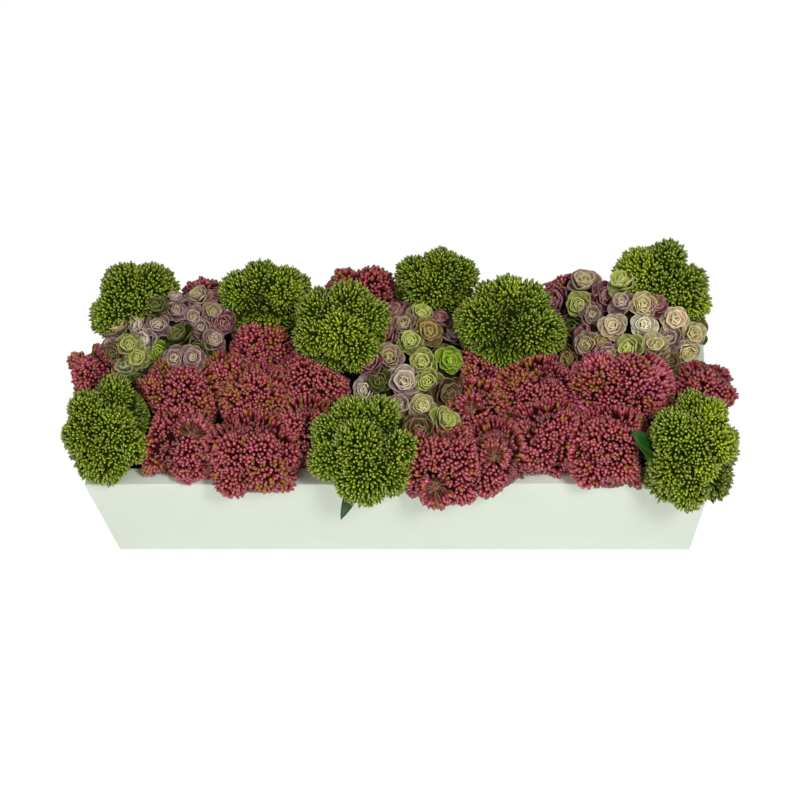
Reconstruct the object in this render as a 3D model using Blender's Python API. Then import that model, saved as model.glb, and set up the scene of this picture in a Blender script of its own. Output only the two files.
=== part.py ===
"""Succulent dish garden: a long tapered planter packed with sedum heads and beds of small rosettes."""
import math
import random
from collections import namedtuple

import bmesh
import bpy
from mathutils import Matrix, Vector

# Planter
PLANTER_LENGTH = 0.610
PLANTER_WIDTH = 0.230
PLANTER_HEIGHT = 0.122
SIDE_TAPER = 0.016
WALL = 0.006
FLOOR = 0.008
LIP_WIDTH = 0.022
LIP_THICKNESS = 0.008
EDGE_ROUNDING = 0.0015

# Foam block and the holes that hold the stems
CLEARANCE = 0.0003
FOAM_LENGTH = 0.560
FOAM_WIDTH = 0.178
FOAM_TOP = 0.100
STEM_RADIUS = 0.0023
STEM_SIDES = 6
STEM_BEND_HEIGHT = PLANTER_HEIGHT + 0.002
HOLE_RADIUS = 0.0031
HOLE_SIDES = 6
HOLE_DEPTH = 0.030
STEM_EDGE_MARGIN = 0.012
FOOT_SHARE_X = 0.97
FOOT_SHARE_Y = 0.75

# Spaces kept between neighbours
HEAD_GAP = 0.0005
ROSETTE_GAP = 0.0006
RIM_GAP = 0.0006
OVERHANG_SLOPE = math.radians(17)
NEIGHBOUR_REACH = 1.2

# Sedum heads
GOLDEN_ANGLE = math.pi * (3 - math.sqrt(5))
GREEN_BUD = 0.0085
PINK_BUD = 0.0075
GREEN_POINTS_PER_AREA = 26500
PINK_POINTS_PER_AREA = 20500
BUD_LENGTH_DRAW = (0.95, 1.02)
BUD_LIMIT = math.radians(128)
COLLAR_SHARE = 0.36
LOBE_TILT = math.radians(74)
GREEN_LOBES = (0.41, 0.60)
PINK_LOBES = (0.47, 0.55)

# Rosettes
ROSETTE_RADIUS = 0.0138
ROSETTE_SPACING = 0.0250
SPRIG_RADIUS = 0.030
SPRIG_ROOM = 0.038
RING_TILT = math.radians(56)
CORE_RADIUS = 0.015
CORE_POINTS = 12
CORE_LIMIT = math.radians(140)
EASING_STEPS = 60
ROSETTE_ROOM = 0.8 * ROSETTE_RADIUS
LOWEST_ROSETTE = 0.2 * SPRIG_RADIUS
PETALS = 5

# Rings of a rosette from its rim inwards: radius and height between two petals and then on a petal,
# as shares of the rosette's radius
RIM_RING = ((0.80, 0.20), (1.00, 0.42))
INNER_RINGS = [((0.46, 0.16), (0.46, 0.16)), ((0.44, 0.50), (0.30, 0.36))]
HEART_HEIGHT = 0.22
HUB_HEIGHT = -0.16

Head = namedtuple("Head", "name centre radius width lobes turn")

# Every green head: middle of its ball, radius, width against depth, side lobes, turn of the lobes
GREEN_HEADS = [
    Head("green_head_back_left", (-0.271, 0.088, 0.159), 0.054, 1.00, 4, 20),
    Head("green_head_back_midleft", (-0.138, 0.088, 0.158), 0.054, 1.02, 5, 50),
    Head("green_head_middle", (-0.056, 0.032, 0.181), 0.054, 1.00, 5, 10),
    Head("green_head_back_centre", (0.035, 0.104, 0.164), 0.049, 1.02, 4, 75),
    Head("green_head_midright", (0.109, 0.039, 0.176), 0.056, 1.06, 4, 35),
    Head("green_head_back_right", (0.261, 0.104, 0.164), 0.055, 1.02, 5, 0),
    Head("green_head_front_left", (-0.283, -0.066, 0.146), 0.058, 0.86, 5, 15),
    Head("green_head_front_centre", (-0.027, -0.101, 0.151), 0.061, 1.00, 6, 30),
    Head("green_head_front_right", (0.285, -0.098, 0.147), 0.063, 0.84, 5, 60),
]

# Every pink head, in the same order of values
PINK_HEADS = [
    Head("pink_head_left_end", (-0.307, 0.014, 0.138), 0.035, 1.0, 3, 10),
    Head("pink_head_back_left", (-0.204, 0.118, 0.138), 0.029, 1.0, 3, 50),
    Head("pink_head_back_centre", (-0.043, 0.120, 0.140), 0.039, 1.1, 4, 20),
    Head("pink_head_left_inner", (-0.139, 0.036, 0.146), 0.038, 1.0, 3, 80),
    Head("pink_head_left_gap", (-0.172, 0.000, 0.140), 0.037, 1.0, 3, 0),
    Head("pink_head_front_left", (-0.216, -0.022, 0.142), 0.050, 1.0, 4, 30),
    Head("pink_head_front_left_low", (-0.214, -0.080, 0.137), 0.042, 1.1, 3, 70),
    Head("pink_head_midleft", (-0.138, -0.030, 0.141), 0.046, 1.0, 4, 45),
    Head("pink_head_midleft_inner", (-0.086, -0.010, 0.144), 0.044, 1.0, 4, 15),
    Head("pink_head_midleft_low", (-0.088, -0.062, 0.138), 0.041, 1.0, 3, 70),
    Head("pink_head_front_midleft", (-0.138, -0.094, 0.139), 0.049, 1.1, 4, 0),
    Head("pink_head_centre_back", (0.086, 0.004, 0.146), 0.039, 1.0, 3, 30),
    Head("pink_head_centre", (0.080, -0.040, 0.138), 0.041, 1.0, 3, 90),
    Head("pink_head_centre_right", (0.135, -0.018, 0.144), 0.047, 1.0, 4, 60),
    Head("pink_head_front_centre", (0.043, -0.106, 0.138), 0.049, 1.0, 4, 40),
    Head("pink_head_front_midright", (0.096, -0.096, 0.138), 0.042, 1.0, 3, 20),
    Head("pink_head_centre_low", (0.148, -0.074, 0.138), 0.045, 1.0, 4, 10),
    Head("pink_head_right", (0.219, -0.020, 0.141), 0.055, 1.1, 5, 25),
    Head("pink_head_front_right", (0.208, -0.090, 0.139), 0.048, 1.1, 4, 55),
    Head("pink_head_right_end", (0.302, -0.004, 0.140), 0.038, 1.0, 3, 65),
    Head("pink_head_back_right", (0.170, 0.118, 0.137), 0.031, 1.1, 3, 35),
]

# Every sprig of rosettes: middle of its ball, then the rosettes round the one on top
SPRIGS = [
    Head("rosette_sprig_left_1", (-0.276, 0.036, 0.141), SPRIG_ROOM, 1.0, 5, 0),
    Head("rosette_sprig_left_2", (-0.238, 0.060, 0.152), SPRIG_ROOM, 1.0, 5, 40),
    Head("rosette_sprig_left_3", (-0.197, 0.078, 0.152), SPRIG_ROOM, 1.0, 5, 20),
    Head("rosette_sprig_left_4", (-0.207, 0.032, 0.144), SPRIG_ROOM, 1.0, 5, 60),
    Head("rosette_sprig_middle_1", (-0.012, -0.006, 0.150), SPRIG_ROOM, 1.0, 5, 10),
    Head("rosette_sprig_middle_2", (0.016, 0.040, 0.156), SPRIG_ROOM, 1.0, 5, 50),
    Head("rosette_sprig_middle_3", (0.038, 0.000, 0.150), SPRIG_ROOM, 1.0, 5, 30),
    Head("rosette_sprig_middle_4", (0.022, -0.058, 0.142), SPRIG_ROOM, 1.0, 5, 0),
    Head("rosette_sprig_right_1", (0.190, 0.090, 0.152), SPRIG_ROOM, 1.0, 5, 15),
    Head("rosette_sprig_right_2", (0.238, 0.068, 0.164), SPRIG_ROOM, 1.0, 5, 45),
    Head("rosette_sprig_right_3", (0.208, 0.042, 0.154), SPRIG_ROOM, 1.0, 5, 70),
    Head("rosette_sprig_right_4", (0.246, 0.022, 0.147), SPRIG_ROOM, 1.0, 5, 25),
    Head("rosette_sprig_right_5", (0.272, 0.054, 0.149), SPRIG_ROOM, 1.0, 4, 55),
]

# Green leaves: the head whose stem each grows from, the middle and the tip of its midrib, and its width
LEAVES = [
    ("green_head_front_centre", [(-0.040, -0.126, 0.124), (-0.055, -0.150, 0.098)], 0.019),
    ("green_head_front_right", [(0.249, -0.068, 0.146), (0.236, -0.056, 0.162)], 0.020),
    ("green_head_midright", [(0.133, 0.023, 0.152), (0.155, 0.012, 0.160)], 0.018),
]
LEAF_ROOT_SHARE = 0.42
LEAF_THICKNESS = 0.0016
LEAF_STATIONS = 7


def clear_scene():
    for obj in list(bpy.data.objects):
        bpy.data.objects.remove(obj, do_unlink=True)


def new_collection(name):
    collection = bpy.data.collections.new(name)
    bpy.context.scene.collection.children.link(collection)
    return collection


def make_material(name, colour, roughness):
    material = bpy.data.materials.new(name)
    material.use_nodes = True
    shader = material.node_tree.nodes["Principled BSDF"]
    shader.inputs["Base Color"].default_value = (*colour, 1.0)
    shader.inputs["Roughness"].default_value = roughness
    return material


def add_object(name, bm, collection, material=None):
    """Turn a bmesh into an object of its own."""
    mesh = bpy.data.meshes.new(name)
    bm.to_mesh(mesh)
    bm.free()
    obj = bpy.data.objects.new(name, mesh)
    collection.objects.link(obj)
    if material:
        mesh.materials.append(material)
    return obj


def apply_modifiers(obj):
    """Replace the object's mesh by the result of its modifiers."""
    evaluated = obj.evaluated_get(bpy.context.evaluated_depsgraph_get())
    mesh = bpy.data.meshes.new_from_object(evaluated)
    old = obj.data
    obj.modifiers.clear()
    obj.data = mesh
    bpy.data.meshes.remove(old)


# Planter and foam

def half_length(z):
    """Half of the planter's outer length at height z."""
    return PLANTER_LENGTH / 2 - SIDE_TAPER * (1 - z / PLANTER_HEIGHT)


def half_width(z):
    return PLANTER_WIDTH / 2 - SIDE_TAPER * (1 - z / PLANTER_HEIGHT)


def place_corners(verts, half_x, half_y, z):
    for vert in verts:
        vert.co = Vector((math.copysign(half_x, vert.co.x), math.copysign(half_y, vert.co.y), z))


def push_face(bm, face, half_x, half_y, z):
    """Extrude a level rectangle and put its new corners at the given half sizes and height."""
    face = bmesh.ops.extrude_discrete_faces(bm, faces=[face])["faces"][0]
    place_corners(face.verts, half_x, half_y, z)
    return face


def make_planter(collection):
    bm = bmesh.new()
    bmesh.ops.create_cube(bm, size=PLANTER_WIDTH)
    bottom = [v for v in bm.verts if v.co.z < 0]
    top = [v for v in bm.verts if v.co.z > 0]
    place_corners(bottom, half_length(0), half_width(0), 0)
    place_corners(top, half_length(PLANTER_HEIGHT), half_width(PLANTER_HEIGHT), PLANTER_HEIGHT)
    outer_edges = list(bm.edges)
    face = max(bm.faces, key=lambda f: f.calc_center_median().z)
    opening_x = PLANTER_LENGTH / 2 - LIP_WIDTH
    opening_y = PLANTER_WIDTH / 2 - LIP_WIDTH
    under_lip = PLANTER_HEIGHT - LIP_THICKNESS
    face = push_face(bm, face, opening_x, opening_y, PLANTER_HEIGHT)
    opening_edges = list(face.edges)
    face = push_face(bm, face, opening_x, opening_y, under_lip)
    face = push_face(bm, face, half_length(under_lip) - WALL, half_width(under_lip) - WALL, under_lip)
    push_face(bm, face, half_length(FLOOR) - WALL, half_width(FLOOR) - WALL, FLOOR)
    bmesh.ops.bevel(bm, geom=outer_edges + opening_edges, offset=EDGE_ROUNDING, segments=2,
                    profile=0.5, affect="EDGES", clamp_overlap=True)
    return add_object("planter", bm, collection, make_material("planter", (0.74, 0.79, 0.72), 0.35))


def stem_foot(head):
    """Where a head's stem enters the foam, drawn in from the head and kept inside the block's edge."""
    limit_x = FOAM_LENGTH / 2 - STEM_EDGE_MARGIN
    limit_y = FOAM_WIDTH / 2 - STEM_EDGE_MARGIN
    x = max(-limit_x, min(limit_x, FOOT_SHARE_X * head.centre[0]))
    y = max(-limit_y, min(limit_y, FOOT_SHARE_Y * head.centre[1]))
    return Vector((x, y, FOAM_TOP))


def make_foam(collection, cutters, heads):
    bm = bmesh.new()
    foam_bottom = FLOOR + CLEARANCE
    bmesh.ops.create_cube(bm, size=FOAM_WIDTH)
    for vert in bm.verts:
        z = FOAM_TOP if vert.co.z > 0 else foam_bottom
        place_corners([vert], FOAM_LENGTH / 2, FOAM_WIDTH / 2, z)
    foam = add_object("foam_block", bm, collection, make_material("foam", (0.05, 0.09, 0.03), 0.9))

    holes = bmesh.new()
    for head in heads:
        middle = stem_foot(head)
        bmesh.ops.create_cone(holes, cap_ends=True, segments=HOLE_SIDES, radius1=HOLE_RADIUS,
                              radius2=HOLE_RADIUS, depth=2 * HOLE_DEPTH, matrix=Matrix.Translation(middle))
    cutter = add_object("stem_holes", holes, cutters)
    cutter.hide_render = True
    cutter.display_type = "WIRE"
    cut = foam.modifiers.new("stem holes", "BOOLEAN")
    cut.operation = "DIFFERENCE"
    cut.solver = "EXACT"
    cut.object = cutter
    return foam


# The space that each head may fill

def plane_between(head, other, gap):
    """Plane that keeps two balls apart, as a normal and the reach along it."""
    start = Vector(head.centre)
    line = Vector(other.centre) - start
    distance = line.length
    normal = line / distance
    share = (distance ** 2 + head.radius ** 2 - other.radius ** 2) / (2 * distance)
    return normal, normal.dot(start) + share - gap / 2


def rim_planes(head):
    """Planes that hold a head above the foam, and above the lip or the rim where it reaches over them."""
    planes = [(Vector((0, 0, -1)), -(FOAM_TOP + RIM_GAP))]
    sides = ((Vector((1, 0, 0)), PLANTER_LENGTH / 2), (Vector((0, 1, 0)), PLANTER_WIDTH / 2))
    for across, edge in sides:
        for sign in (1, -1):
            outward = across * sign
            reach = outward.dot(Vector(head.centre)) + head.radius * head.width
            if reach < edge - LIP_WIDTH:
                continue
            slope = OVERHANG_SLOPE if reach > edge + RIM_GAP else 0
            normal = -(Vector((0, 0, math.cos(slope))) + outward * math.sin(slope))
            rim = outward * edge + Vector((0, 0, PLANTER_HEIGHT))
            planes.append((normal, normal.dot(rim) - RIM_GAP))
    return planes


def neighbour_planes(head, others):
    planes = []
    for other in others:
        distance = (Vector(other.centre) - Vector(head.centre)).length
        if other is not head and distance < NEIGHBOUR_REACH * (head.radius + other.radius):
            planes.append(plane_between(head, other, HEAD_GAP))
    return planes


def pull_inside(origin, point, planes):
    """Move a point along its line to the origin until it lies inside every plane."""
    share = 1.0
    for normal, limit in planes:
        room = limit - normal.dot(origin)
        need = normal.dot(point - origin)
        if room <= 0:
            raise ValueError(f"a head's middle at {tuple(origin)} is outside its own space")
        if need > room:
            share = min(share, room / need)
    return origin + (point - origin) * share


# Heads

def spiral_directions(count, limit):
    """Evenly spread directions round +Z, out to the limit angle."""
    for i in range(count):
        height = 1 - (i + 0.5) / count * (1 - math.cos(limit))
        across = math.sqrt(1 - height ** 2)
        yield Vector((across * math.cos(i * GOLDEN_ANGLE), across * math.sin(i * GOLDEN_ANGLE), height))


def lobe_centres(head, offset):
    """Middles of a head's lobes, as shares of its radius: one on top and the rest round it."""
    yield Vector((0, 0, offset))
    for i in range(head.lobes):
        turn = math.radians(head.turn) + 2 * math.pi * i / head.lobes
        yield offset * Vector((math.sin(LOBE_TILT) * math.cos(turn), math.sin(LOBE_TILT) * math.sin(turn),
                               math.cos(LOBE_TILT)))


def lobed_reach(direction, lobes, lobe_radius):
    """Distance from the middle to the surface of the lobes, as a share of the head's radius."""
    reach = 0
    for lobe in lobes:
        along = lobe.dot(direction)
        inside = along ** 2 - lobe.length_squared + lobe_radius ** 2
        if inside > 0:
            reach = max(reach, along + math.sqrt(inside))
    return reach


def stem_ring(centre, way, distance):
    """Corners of the stem where it leaves the head."""
    turn = way.to_track_quat("Z", "Y")
    for i in range(STEM_SIDES):
        angle = 2 * math.pi * i / STEM_SIDES
        corner = Vector((STEM_RADIUS * math.cos(angle), STEM_RADIUS * math.sin(angle), distance))
        yield centre + turn @ corner


def grow_stem(bm, ring, foot):
    """Extrude the ring's cap down to the foam and into its hole."""
    cap = [face for face in bm.faces if all(vert in ring for vert in face.verts)]
    heights = (STEM_BEND_HEIGHT, FOAM_TOP - HOLE_DEPTH + CLEARANCE)
    for z in heights:
        middle = sum((vert.co for vert in ring), Vector()) / len(ring)
        grown = bmesh.ops.extrude_face_region(bm, geom=cap)["geom"]
        bmesh.ops.delete(bm, geom=cap, context="FACES")
        cap = [item for item in grown if isinstance(item, bmesh.types.BMFace)]
        ring = [item for item in grown if isinstance(item, bmesh.types.BMVert)]
        for vert in ring:
            side = vert.co - middle
            side.z = 0
            vert.co = Vector((foot.x, foot.y, z)) + side.normalized() * STEM_RADIUS


def make_body(head, planes, points, limit, reach_of, bud=0.0):
    """A closed ball-like body on a stem, whose surface follows reach_of, with a raised bud on each facet."""
    centre = Vector(head.centre)
    foot = stem_foot(head)
    down = (foot - centre).normalized()
    turn = (-down).to_track_quat("Z", "Y")
    shape = random.Random(head.name)

    bm = bmesh.new()
    surface = [bm.verts.new(turn @ direction) for direction in spiral_directions(points, limit)]
    collar = list(stem_ring(Vector(), down, COLLAR_SHARE * head.radius))
    ring = [bm.verts.new(corner.normalized()) for corner in collar]
    bmesh.ops.convex_hull(bm, input=bm.verts[:])
    bm.verts.ensure_lookup_table()
    tips = []
    if bud:
        facets = [face for face in bm.faces if not any(vert in ring for vert in face.verts)]
        tips = bmesh.ops.poke(bm, faces=facets)["verts"]
    for vert in surface:
        local = turn.inverted() @ vert.co
        vert.co = reach_vector(head, vert.co, reach_of(local) * head.radius - bud)
    for vert in tips:
        local = turn.inverted() @ vert.co.normalized()
        length = reach_of(local) * head.radius * shape.uniform(*BUD_LENGTH_DRAW)
        vert.co = reach_vector(head, vert.co, length)
    for vert in surface + tips:
        vert.co = pull_inside(centre, centre + vert.co, planes)
    for vert, corner in zip(ring, collar):
        vert.co = centre + corner
    grow_stem(bm, ring, foot)
    bmesh.ops.recalc_face_normals(bm, faces=bm.faces[:])
    return bm


def reach_vector(head, direction, length):
    """A direction at its length, drawn in or out across the planter's length by the head's width."""
    vector = direction.normalized() * length
    vector.x *= head.width
    return vector


def make_sedum(head, others, collection, density, bud, lobe_shares, material):
    offset, lobe_radius = lobe_shares
    lobes = list(lobe_centres(head, offset))
    points = round(density * head.radius ** 2)
    planes = neighbour_planes(head, others) + rim_planes(head)
    bm = make_body(head, planes, points, BUD_LIMIT, lambda d: lobed_reach(d, lobes, lobe_radius), bud)
    return add_object(head.name, bm, collection, material)


# Leaves

def curve_point(points, share):
    """Point on the parabola through the start, the middle and the end."""
    start, middle, end = (Vector(p) for p in points)
    control = 2 * middle - (start + end) / 2
    return (1 - share) ** 2 * start + 2 * share * (1 - share) * control + share ** 2 * end


def make_leaf(points, width, planes, collection):
    """A thin pointed leaf with a raised midrib, bent along its points and kept inside the planes."""
    bm = bmesh.new()
    bmesh.ops.create_uvsphere(bm, u_segments=4, v_segments=LEAF_STATIONS + 1, radius=1)
    start, end = Vector(points[0]), Vector(points[-1])
    across = (end - start).cross(Vector((0, 0, 1))).normalized()
    for vert in bm.verts:
        share = (1 - vert.co.z) / 2
        middle = curve_point(points, share)
        ahead = (curve_point(points, share + 0.01) - middle).normalized()
        up = across.cross(ahead)
        place = middle + across * vert.co.x * width / 2 + up * vert.co.y * LEAF_THICKNESS / 2
        vert.co = pull_inside(start, place, planes)
    bmesh.ops.recalc_face_normals(bm, faces=bm.faces[:])
    return add_object("leaf", bm, collection)


# Sprigs of rosettes

def spread_rosettes():
    """Middles of all rosettes: one on top of each sprig and a ring round it, eased apart on their balls."""
    spots = []
    for sprig in SPRIGS:
        spots.append((sprig, Vector((0, 0, 1))))
        for i in range(sprig.lobes):
            turn = math.radians(sprig.turn) + 2 * math.pi * i / sprig.lobes
            ring = Vector((math.sin(RING_TILT) * math.cos(turn), math.sin(RING_TILT) * math.sin(turn),
                           math.cos(RING_TILT)))
            spots.append((sprig, ring))
    return spots


def rosette_places(heads):
    """World places and directions of the rosettes, eased apart from each other and from the heads."""
    spots = [[sprig, way] for sprig, way in spread_rosettes()]
    walls = {sprig.name: neighbour_planes(sprig, heads + SPRIGS) + rim_planes(sprig) for sprig in SPRIGS}
    for _ in range(EASING_STEPS):
        places = [Vector(sprig.centre) + way * SPRIG_RADIUS for sprig, way in spots]
        for i, (sprig, way) in enumerate(spots):
            push = Vector()
            for j, other in enumerate(places):
                line = places[i] - other
                if i != j and line.length < ROSETTE_SPACING:
                    push += line.normalized() * (ROSETTE_SPACING - line.length) / 2
            for normal, limit in walls[sprig.name]:
                over = normal.dot(places[i]) + ROSETTE_ROOM - limit
                if over > 0:
                    push -= normal * over / 2
            moved = places[i] + push - Vector(sprig.centre)
            moved.z = max(moved.z, LOWEST_ROSETTE)
            spots[i][1] = moved.normalized()
    return [(sprig, Vector(sprig.centre) + way * SPRIG_RADIUS, way) for sprig, way in spots]


def is_even(vert, first):
    """Whether a corner is an even number of steps round from the first."""
    angle = math.atan2(vert.co.y, vert.co.x)
    return round((angle - first) / (math.pi / PETALS)) % 2 == 0


def shape_ring(face, first, ring):
    """Set the corners of a face by turns to the ring's two radii and heights."""
    between, petal = ring
    for vert in face.verts:
        angle = math.atan2(vert.co.y, vert.co.x)
        radius, height = between if is_even(vert, first) else petal
        vert.co = ROSETTE_RADIUS * Vector((radius * math.cos(angle), radius * math.sin(angle), height))


def make_rosette(place, way, turn, planes, root, collection):
    """A cup of petals in two tiers on a slim root, drawn at the origin and then set in its place."""
    depth = (place - root).length
    bm = bmesh.new()
    bmesh.ops.create_cone(bm, cap_ends=True, segments=PETALS, radius1=0, radius2=ROSETTE_RADIUS, depth=depth)
    bmesh.ops.translate(bm, verts=bm.verts[:], vec=(0, 0, -depth / 2))
    face = max(bm.faces, key=lambda f: f.calc_center_median().z)
    first = math.atan2(face.verts[0].co.y, face.verts[0].co.x)
    bmesh.ops.bisect_edges(bm, edges=list(face.edges), cuts=1)
    face = max(bm.faces, key=lambda f: f.calc_center_median().z)
    notches = [vert for vert in face.verts if is_even(vert, first)]
    shape_ring(face, first, RIM_RING)
    for side in [f for f in bm.faces if f is not face]:
        corners = [vert for vert in side.verts if vert in notches]
        bmesh.utils.face_split(side, *corners)
    for ring in INNER_RINGS:
        face = bmesh.ops.extrude_discrete_faces(bm, faces=[face])["faces"][0]
        shape_ring(face, first, ring)
    heart = bmesh.ops.poke(bm, faces=[face])["verts"][0]
    heart.co = Vector((0, 0, HEART_HEIGHT * ROSETTE_RADIUS))
    facing = way.to_track_quat("Z", "Y") @ Matrix.Rotation(turn, 4, "Z").to_quaternion()
    base = place + facing @ Vector((0, 0, HUB_HEIGHT * ROSETTE_RADIUS))
    for vert in bm.verts:
        at_root = vert.co.z < -depth / 2
        vert.co = root if at_root else pull_inside(base, place + facing @ vert.co, planes)
    bmesh.ops.triangulate(bm, faces=bm.faces[:])
    bmesh.ops.recalc_face_normals(bm, faces=bm.faces[:])
    return add_object("rosette", bm, collection)


def rosette_planes(index, places, walls):
    """Planes that keep one rosette apart from the others and from the heads round it."""
    sprig, place, _ = places[index]
    planes = list(walls)
    for j, (_, other, _) in enumerate(places):
        line = other - place
        if j != index and line.length < 3 * ROSETTE_RADIUS:
            normal = line.normalized()
            planes.append((normal, normal.dot(place) + line.length / 2 - ROSETTE_GAP / 2))
    return planes


def make_sprig(sprig, heads, places, collection, material):
    """A small core on a stem, with its rosettes joined to it."""
    core = sprig._replace(radius=CORE_RADIUS)
    walls = neighbour_planes(sprig, heads + SPRIGS) + rim_planes(sprig)
    bm = make_body(core, walls, CORE_POINTS, CORE_LIMIT, lambda d: 1.0)
    body = add_object(sprig.name, bm, collection, material)
    draw = random.Random(sprig.name)
    rosettes = bpy.data.collections.new(sprig.name + " rosettes")
    bpy.context.scene.collection.children.link(rosettes)
    for index, (owner, place, way) in enumerate(places):
        if owner is sprig:
            planes = rosette_planes(index, places, walls)
            make_rosette(place, way, draw.uniform(0, 2), planes, Vector(sprig.centre), rosettes)
    join_collection(body, rosettes)
    return body


def join_collection(body, collection):
    """Union of a body with every object of a collection, which is then removed."""
    join = body.modifiers.new("join", "BOOLEAN")
    join.operation = "UNION"
    join.solver = "EXACT"
    join.operand_type = "COLLECTION"
    join.collection = collection
    apply_modifiers(body)
    for obj in list(collection.objects):
        bpy.data.objects.remove(obj, do_unlink=True)
    bpy.data.collections.remove(collection)


def main():
    clear_scene()
    garden = new_collection("succulent_dish_garden")
    cutters = new_collection("cutters")
    everything = GREEN_HEADS + PINK_HEADS + SPRIGS
    make_planter(garden)
    make_foam(garden, cutters, everything)
    green = make_material("green_sedum", (0.16, 0.32, 0.02), 0.4)
    pink = make_material("pink_sedum", (0.45, 0.07, 0.11), 0.5)
    rosette = make_material("rosettes", (0.35, 0.36, 0.20), 0.5)
    for head in GREEN_HEADS:
        body = make_sedum(head, everything, garden, GREEN_POINTS_PER_AREA, GREEN_BUD, GREEN_LOBES, green)
        for name, points, width in LEAVES:
            if name == head.name:
                leaf = new_collection("leaf")
                root = Vector(head.centre).lerp(stem_foot(head), LEAF_ROOT_SHARE)
                planes = neighbour_planes(head, everything)
                make_leaf([root, *points], width, planes, leaf)
                join_collection(body, leaf)
    for head in PINK_HEADS:
        make_sedum(head, everything, garden, PINK_POINTS_PER_AREA, PINK_BUD, PINK_LOBES, pink)
    heads = GREEN_HEADS + PINK_HEADS
    places = rosette_places(heads)
    for sprig in SPRIGS:
        make_sprig(sprig, heads, places, garden, rosette)


main()
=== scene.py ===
"""Succulent dish garden: planter, foam, sedum heads and rosettes, dressed round their fixed frame."""

import math
import random
from collections import namedtuple

import bmesh
import bpy
import numpy as np
from bpy.props import FloatProperty, FloatVectorProperty, IntProperty, PointerProperty
from mathutils import Matrix, Vector


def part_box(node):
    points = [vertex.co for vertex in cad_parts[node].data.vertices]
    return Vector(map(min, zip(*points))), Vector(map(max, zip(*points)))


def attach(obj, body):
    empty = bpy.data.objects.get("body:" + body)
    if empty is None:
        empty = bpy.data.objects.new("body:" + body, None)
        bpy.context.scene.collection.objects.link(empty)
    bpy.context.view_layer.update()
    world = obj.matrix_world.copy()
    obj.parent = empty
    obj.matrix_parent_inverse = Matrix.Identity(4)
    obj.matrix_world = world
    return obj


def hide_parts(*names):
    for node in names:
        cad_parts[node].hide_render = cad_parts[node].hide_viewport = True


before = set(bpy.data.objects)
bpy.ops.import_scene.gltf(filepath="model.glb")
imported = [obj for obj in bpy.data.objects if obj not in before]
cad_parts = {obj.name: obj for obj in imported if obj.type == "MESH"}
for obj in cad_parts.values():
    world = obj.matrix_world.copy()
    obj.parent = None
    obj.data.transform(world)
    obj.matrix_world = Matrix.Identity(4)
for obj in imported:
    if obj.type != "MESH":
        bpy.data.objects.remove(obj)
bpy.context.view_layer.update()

bl_info = {
    "name": "Succulent dish garden",
    "version": (1, 0, 0),
    "blender": (4, 5, 0),
    "location": "3D View > Sidebar > Dish garden",
    "description": "Dresses a planter with sedum heads and beds of small rosettes",
    "category": "Object",
}

BODY = "root"
PLANTER_LOW, PLANTER_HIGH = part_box("planter")
FOAM_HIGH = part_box("foam_block")[1]

# Planter and stems
SIDE_TAPER = 0.016
WALL = 0.006
FLOOR = 0.008
LIP_WIDTH = 0.022
LIP_THICKNESS = 0.008
STEM_RADIUS = 0.0023
STEM_EDGE_MARGIN = 0.012
STEM_BEND_HEIGHT = PLANTER_HIGH.z + 0.002
STEM_FOOT_DEPTH = 0.028
FOOT_SHARE_X = 0.97
FOOT_SHARE_Y = 0.75
BEND_START = 0.75
BEVEL_STEPS = 4
SMOOTH_ANGLE = math.radians(35)

# Least height of a normal that counts as straight up, distance that counts as none, and least divisor
UPRIGHT = 0.9
SAME_PLACE = 1e-5
TINY = 1e-9

# Spaces kept between neighbours
HEAD_GAP = 0.0005
RIM_GAP = 0.0006
OVERHANG_SLOPE = math.radians(17)
NEIGHBOUR_REACH = 1.2

# Directions spread over a ball, with its rows this far apart against the spacing, any turn in radians, and how
# many seeds for chance there are to a metre
GOLDEN_ANGLE = math.pi * (3 - math.sqrt(5))
ROW_SHARE = 0.866
ANY_TURN = (0, 6)
SEED_STEP = 1e5

# Rings of a bud from its foot up: drop below the tip as a share of its length, radius as a share of its own
GREEN_BUD_RINGS = ((1.0, 0.0), (0.42, 1.0), (0.10, 0.50))
PINK_BUD_RINGS = ((1.0, 0.0), (0.30, 1.0), (0.07, 0.64))
OPEN_BUD_RINGS = ((1.0, 0.20), (0.50, 0.28), (0.24, 1.0), (0.07, 0.62))
OPEN_LENGTH = 1.25

# Buds on an umbel: how far round the head they grow, their scatter against their spacing, where they spring from
# on the way to the umbel's middle, how far they may cross a seam, and the least share of their way that is left
BUD_LIMIT = math.radians(112)
SCATTER = 0.22
HUB_SHARE = 0.80
UMBEL_OVERLAP = 0.0016
SEAM_SLACK = 0.0030
LEAST_SHARE = 0.88

# Umbels that the photograph shows: their size against the measured one and at most against their head's, and how
# far the side ones stand forward; then how far from these the hidden ones stay, and how far they face the camera
UMBEL_SPREAD = 1.14
WIDEST_UMBEL = 0.54
LOBE_PUSH = 0.68
UMBEL_GAP = 0.62
FRONT_SHARE = 0.28

# Valleys between umbels: painted shade, as the tone of the deepest buds, and between which heights it gives way as
# they are lit up; then how low the buds that fill them lie, how far from others they stay, and the least share of
# their way that is left
VALLEY_SHADE_TONE = 0.50
VALLEY_FLOOR = 0.70
VALLEY_TOP = 0.94
FILL_DROP = 0.0018
FILL_GAP = 0.80
LEAST_FILL_SHARE = 0.42

# Ridges along the seams: how fast they fall away from them, their height at the foot of a head, and how far up
# they reach their full height; then how deep inside another head a bud is left out
RIDGE_FALL = 1.05
RIDGE_FOOT = 0.88
RIDGE_RISE = 0.5
HIDDEN_STEP = 0.010
HIDDEN_SHARE = 0.70

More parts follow.
